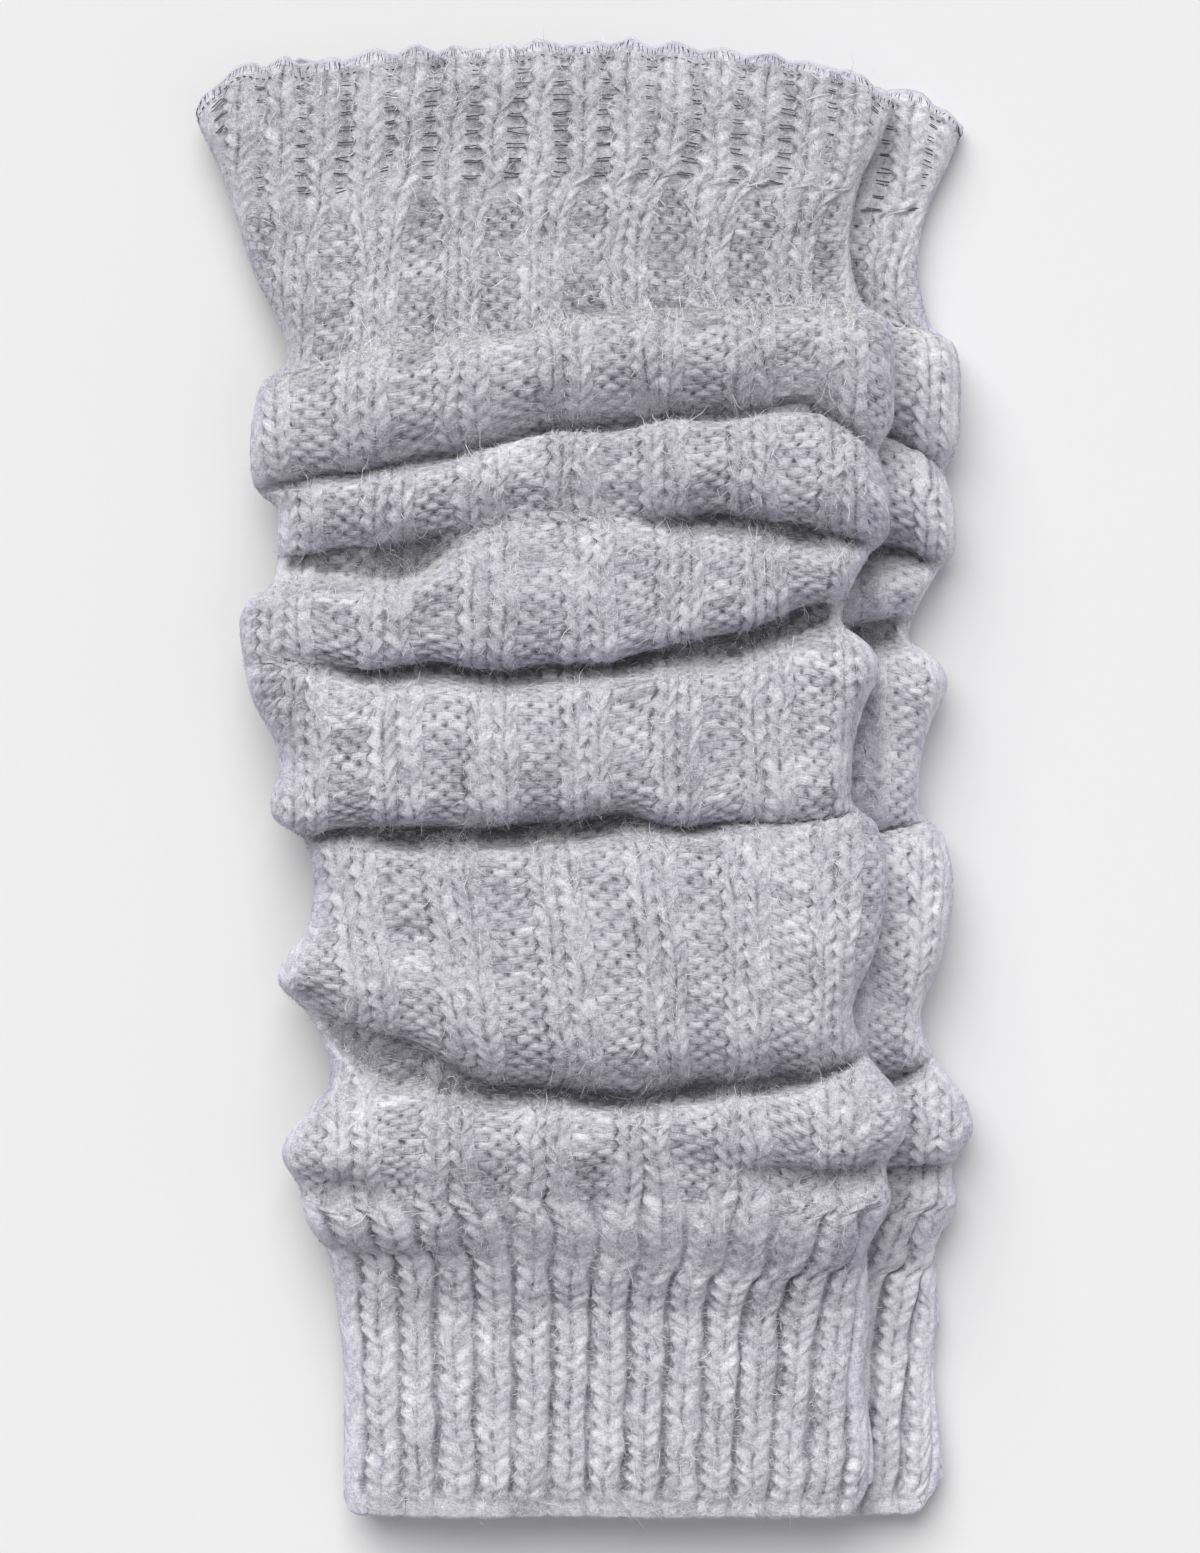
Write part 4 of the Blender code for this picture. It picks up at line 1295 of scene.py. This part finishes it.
class Nodes:
    """Short names for building a material's nodes."""

    def __init__(self, name):
        self.material = bpy.data.materials.new(name)
        self.material.use_nodes = True
        self.tree = self.material.node_tree
        self.shader = self.tree.nodes["Principled BSDF"]

    def put(self, socket, value):
        """Links another node's value to a socket, or sets a plain value on it."""
        if isinstance(value, bpy.types.NodeSocket):
            self.tree.links.new(value, socket)
        else:
            socket.default_value = value

    def node(self, kind, inputs=(), **settings):
        """A node with these settings, and these values by the name or number of its inputs."""
        node = self.tree.nodes.new("ShaderNode" + kind)
        for name, value in settings.items():
            setattr(node, name, value)
        for key, value in dict(inputs).items():
            self.put(node.inputs[key], value)
        return node

    def math(self, operation, *values, clamp=False):
        node = self.node("Math", enumerate(values), operation=operation, use_clamp=clamp)
        return node.outputs[0]

    def add(self, *values):
        out = values[0]
        for value in values[1:]:
            out = self.math("ADD", out, value)
        return out

    def times(self, first, second):
        return self.math("MULTIPLY", first, second)

    def power(self, value, exponent):
        return self.math("POWER", value, exponent)

    def minus(self, first, second, clamp=False):
        return self.math("SUBTRACT", first, second, clamp=clamp)

    def scaled(self, value, middle, amount):
        """(value - middle) * amount"""
        return self.times(self.minus(value, middle), amount)

    def noise(self, vector, scale, detail=2.0, roughness=0.5):
        node = self.node("TexNoise", {"Vector": vector, "Scale": scale, "Detail": detail,
                                      "Roughness": roughness})
        return node.outputs["Fac"]

    def random(self, x, y):
        """A number from -0.5 to 0.5 of each pair's own."""
        pair = self.node("CombineXYZ", {0: x, 1: y}).outputs[0]
        node = self.node("TexWhiteNoise", noise_dimensions="2D")
        self.put(node.inputs["Vector"], pair)
        return self.minus(node.outputs["Value"], 0.5)

    def hairs(self, vector, scale):
        """1 along thin curling lines, and 0 between them."""
        away = self.math("ABSOLUTE", self.minus(self.noise(vector, scale, 2.0, 0.6), 0.5))
        return self.minus(1.0, self.math("DIVIDE", away, HAIR_WIDTH), clamp=True)

    def stretched(self, vector, scale, turn=(0, 0, 0)):
        return self.node("Mapping", {"Vector": vector, "Rotation": turn,
                                     "Scale": scale}).outputs[0]

    def uv(self, name):
        return self.node("UVMap", uv_map=name).outputs[0]

    def place(self):
        return self.node("TexCoord").outputs["Object"]

    def parts(self, vector):
        return self.node("SeparateXYZ", {0: vector}).outputs[:2]

    def attribute(self, name):
        colour = self.node("Attribute", attribute_name=name).outputs["Color"]
        return self.node("SeparateColor", {0: colour}).outputs[:]

    def ramp(self, value, stops):
        node = self.node("ValToRGB", {0: value})
        ends = node.color_ramp.elements
        for element, (at, colour) in zip(ends, (stops[0], stops[-1])):
            element.position = at
            element.color = (*colour, 1)
        for at, colour in stops[1:-1]:
            ends.new(at).color = (*colour, 1)
        return node.outputs[0]

    def finish(self, colour, roughness, specular):
        """Sets the shader's colour and finish."""
        self.put(self.shader.inputs["Base Color"], colour)
        self.put(self.shader.inputs["Roughness"], roughness)
        self.put(self.shader.inputs["Specular IOR Level"], specular)
        return self.material

    def wool_colour(self, shade, lavender):
        """A shade of the heathered yarn, with so much of the lavender tint, which carries painted
        light as well as the yarn's own tint.
        """
        node = self.node("Mix", data_type="RGBA")
        self.put(node.inputs["Factor"], lavender)
        for socket, column in ((6, 1), (7, 2)):
            stops = [(row[0], row[column]) for row in WOOL]
            self.put(node.inputs[socket], self.ramp(shade, stops))
        return node.outputs[2]


# Shades of the heathered yarn, from its darkest fibres to its palest: those that look
# neutral and a little warm, in the recesses and where cloth faces up, and those with a
# lavender tint. Which is used where is partly painted light.
WOOL = (
    # at, neutral, lavender
    (0.0, (0.115, 0.115, 0.118), (0.12, 0.113, 0.15)),
    (0.35, (0.315, 0.315, 0.32), (0.325, 0.31, 0.38)),
    (0.6, (0.54, 0.54, 0.545), (0.55, 0.53, 0.625)),
    (0.8, (0.703, 0.702, 0.70), (0.71, 0.695, 0.78)),
    (1.0, (0.905, 0.90, 0.892), (0.90, 0.89, 0.93)),
)
FLOOR_SHADES = (
    (0.0, (0.785, 0.787, 0.783)),
    (1.0, (0.797, 0.80, 0.795)),
)
SHEEN = {"Sheen Weight": 0.25, "Sheen Roughness": 0.6, "Sheen Tint": (0.90, 0.86, 1.0, 1.0)}
HAIR_WIDTH = 0.035        # of the drawn hairs, as a difference of the noise from its middle
HAIR_SCALES = (330.0, 470.0, 640.0)
HAZE_STREAKS = (          # scale and turn of the brushed haze's two layers of streaks
    ((2600, 700, 1100), (0, 0, 0.6)),
    ((800, 2600, 1100), (0, 0, 0.5)),
)
PIT_HALF_WIDTH = 0.14     # of the pits between purl bumps, in bumps
PIT_HALF_HEIGHT = 0.32
# How much each part of the wool changes its shade, and where that part's middle lies.
SHADE = {
    # part     middle  amount
    "streak": (0.5, 0.68),
    "fine":   (0.5, 0.40),
    "haze":   (1.0, 0.52),
    "tone":   (0.5, 0.42),
    "broad":  (0.5, 0.30),
    "mottle": (0.5, 0.22),
    "hairs":  (0.6, 0.07),
    "own":    (0.0, 0.20),
}
# Painted shade: SHADOW is painted shadow in creases, and the three after it paint shade into the
# seams between legs, the pits between purl bumps and the seams between rows of bumps.
SHADOW = -0.46            # how much a crease darkens the wool
FIBRE_SHADOW = -0.22      # and the loose fibres
SEAM_SHADE = 0.9          # how much the seams between legs of stitches darken it
PIT_SHADE = 1.3           # and the pits between purl bumps
PURL_SEAM_SHADE = -0.27   # and the seams between rows of purl bumps
FELT_COVER = 0.45         # how much felt covers its streaks and seams
BUMP_STRENGTH = 0.6
BUMP_DISTANCE = 0.0005    # m


def purl_pattern(n, uneven):
    """How near a point is to the pits between the purl bumps and to the bumps' seams, and
    the shade of its own bump."""
    across, down = n.parts(n.uv("purl"))
    on_purl = n.math("GREATER_THAN", across, -10.0)
    across = n.add(across, n.scaled(uneven, 0.5, 0.35))
    down = n.add(down, n.scaled(uneven, 0.5, 0.9))
    row = n.math("FLOOR", down)
    number = n.add(across, n.times(n.math("MODULO", row, 2.0), 0.5))
    own = n.times(n.random(n.math("FLOOR", number), row), on_purl)
    aside = n.math("FRACT", number)
    aside = n.math("MINIMUM", aside, n.minus(1.0, aside))
    up = n.math("ABSOLUTE", n.minus(n.math("FRACT", down), 0.5))
    away = n.add(n.power(n.math("DIVIDE", aside, PIT_HALF_WIDTH), 2.0),
                 n.power(n.math("DIVIDE", up, PIT_HALF_HEIGHT), 2.0))
    pit = n.times(n.math("EXPONENT", n.times(away, -1.0)), on_purl)
    seam = n.times(n.power(n.times(up, 2.0), 5.0), on_purl)
    return pit, seam, own


def wool_material(name, lightness):
    """Felted heather yarn: streaks along the yarn, a brushed haze, painted shade in its seams
    and pits, and painted shadow in creases.
    """
    n = Nodes(name)
    # The attributes carry painted shade between stitches, painted crease shadow and the lavender
    # tint with its painted light.
    deep, tone, felt = n.attribute("knit")
    shadow, lavender, _ = n.attribute("lie")
    yarn = n.uv("yarn")
    place = n.place()
    mottle = n.noise(place, 420.0, 3.0, 0.6)
    pit, seam, own = purl_pattern(n, n.noise(place, 260.0, 1.0))
    pit = n.times(pit, n.add(0.75, own))
    clear = n.minus(1.0, n.times(felt, FELT_COVER))
    parts = {
        "streak": n.noise(n.stretched(yarn, (0.5, 3.2, 1.0)), 1.0, 4.0, 0.65),
        "fine": n.noise(n.stretched(yarn, (1.0, 7.5, 1.0)), 1.0, 2.0, 0.6),
        "haze": n.add(*[n.noise(n.stretched(place, *streaks), 1.0, 3.0, 0.6)
                        for streaks in HAZE_STREAKS]),
        "tone": tone,
        "broad": n.noise(place, 70.0, 3.0, 0.55),
        "mottle": mottle,
        "hairs": n.add(*[n.hairs(place, scale) for scale in HAIR_SCALES]),
        "own": own,
    }
    shades = {part: n.scaled(value, *SHADE[part]) for part, value in parts.items()}
    shades["streak"] = n.times(shades["streak"], clear)
    # Painted shade in the seams, pits and rows of purl bumps, where shade falls between stitches.
    seams = n.add(
        n.times(n.power(deep, 1.6), n.scaled(mottle, 1.0, SEAM_SHADE)),
        n.times(pit, n.scaled(mottle, 1.0, PIT_SHADE)),
        n.times(seam, PURL_SEAM_SHADE),
    )
    shade = n.add(lightness, *shades.values(), n.times(seams, clear),
                  n.times(n.power(shadow, 2.5), SHADOW))
    height = n.add(parts["streak"], n.times(parts["fine"], 0.5), n.times(parts["haze"], 0.5),
                   n.times(parts["hairs"], 0.12), n.times(n.add(pit, n.times(seam, 0.5)), -0.9))
    bump = n.node("Bump", {"Height": height, "Strength": BUMP_STRENGTH,
                           "Distance": BUMP_DISTANCE})
    n.put(n.shader.inputs["Normal"], bump.outputs[0])
    for socket, value in SHEEN.items():
        n.put(n.shader.inputs[socket], value)
    return n.finish(n.wool_colour(shade, lavender), 0.92, 0.2)


def fibre_material(name, lightness):
    """Loose fibres and fine threads, each of its own shade."""
    n = Nodes(name)
    _, tone, _ = n.attribute("knit")
    shadow, lavender, _ = n.attribute("lie")
    grain = n.noise(n.place(), 1500.0, 2.0)
    shade = n.add(n.scaled(tone, 0.5, 1.0), n.scaled(grain, 0.5, 0.25), lightness,
                  n.times(n.power(shadow, 2.0), FIBRE_SHADOW))
    return n.finish(n.wool_colour(shade, lavender), 0.85, 0.2)


def floor_material():
    """The pale floor, a little uneven."""
    n = Nodes("pale_floor")
    grain = n.noise(n.place(), 900.0, 2.0)
    return n.finish(n.ramp(grain, FLOOR_SHADES), 0.9, 0.1)


# ---- floor, light and camera ---------------------------------------------------------

FLOOR_SIZE = 6.0          # m
SUNS = {
    # name   shines from         degrees  strength  colour
    "sun":  ((-0.28, 0.85, 1.0), 54.0,    3.02,     (1.0, 1.0, 1.0)),
    "fill": ((0.8, -0.4, 0.9),   60.0,    0.32,     (0.86, 0.82, 1.0)),
}
SKY_STRENGTH = 0.31
FRAME_HEIGHT = 382.8      # of the photograph, at the height of the cloth
CLOTH_HEIGHT = 28.0
CAMERA_ABOVE = 1200.0
SENSOR = 36.0


def make_stage():
    """The floor, the lights and the camera, which looks straight down."""
    half = FLOOR_SIZE / 2
    data = bpy.data.meshes.new("floor")
    data.from_pydata([(-half, -half, 0), (half, -half, 0), (half, half, 0), (-half, half, 0)],
                     [], [(0, 1, 2, 3)])
    data.materials.append(floor_material())
    floor = linked("floor", data)
    for name, (shines_from, degrees, strength, colour) in SUNS.items():
        sun = bpy.data.lights.new(name, "SUN")
        sun.energy = strength
        sun.angle = np.radians(degrees)
        sun.color = colour
        lamp = linked(name, sun)
        lamp.rotation_euler = Vector(shines_from).to_track_quat("Z", "Y").to_euler()
    world = bpy.data.worlds.new("studio")
    world.use_nodes = True
    background = world.node_tree.nodes["Background"]
    background.inputs["Color"].default_value = (1.0, 1.0, 1.0, 1.0)
    background.inputs["Strength"].default_value = SKY_STRENGTH
    bpy.context.scene.world = world
    camera = bpy.data.cameras.new("camera")
    camera.lens = SENSOR * CAMERA_ABOVE / FRAME_HEIGHT
    camera.sensor_width = SENSOR
    eye = linked("camera", camera)
    eye.location = (CENTRE[0] * MM, CENTRE[1] * MM, (CAMERA_ABOVE + CLOTH_HEIGHT) * MM)
    bpy.context.scene.camera = eye
    bpy.context.scene.view_settings.view_transform = "Standard"


# ---- making the pair -----------------------------------------------------------------

SLOTS = {"band": "band_knit", "leg": "leg_knit", "cuff": "cuff_knit"}
LIGHTNESS = {"band": 0.655, "leg": 0.665, "cuff": 0.688}
FIBRE_LIGHTNESS = 0.60
THREAD_LIGHTNESS = 0.66

make_stage()
wool = {part: wool_material(f"{part}_wool", LIGHTNESS[part]) for part in SLOTS}
fibres = fibre_material("loose_fibres", FIBRE_LIGHTNESS)
thread = fibre_material("fine_thread", THREAD_LIGHTNESS)


def join_pair(piece, which, part):
    """Fixes a piece to the pair, as the looks of one CAD node."""
    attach(piece, "root")
    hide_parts(f"{which}_{part}")


for which in LYING:
    cloth = Cloth(which)
    whole = outer_triangles(cloth, 0, cloth.lines - 1).joined()[0]
    cloth.normals = vertex_normals(cloth.points.reshape(-1, 3), whole)
    cloth.normals = cloth.normals.reshape(cloth.points.shape)
    threads = [elastic_threads(cloth, thread), edge_stitching(cloth, thread)]
    for name, start, end, open_start, open_end in PIECES[which]:
        part = name.split("_")[0]
        piece = build_piece(cloth, name, start, end, open_start, open_end, wool[part])
        details = [nap(cloth, name, start, end, fibres)]
        if part == "band":
            details += threads
        for each in [piece, *details]:
            join_pair(each, which, part)
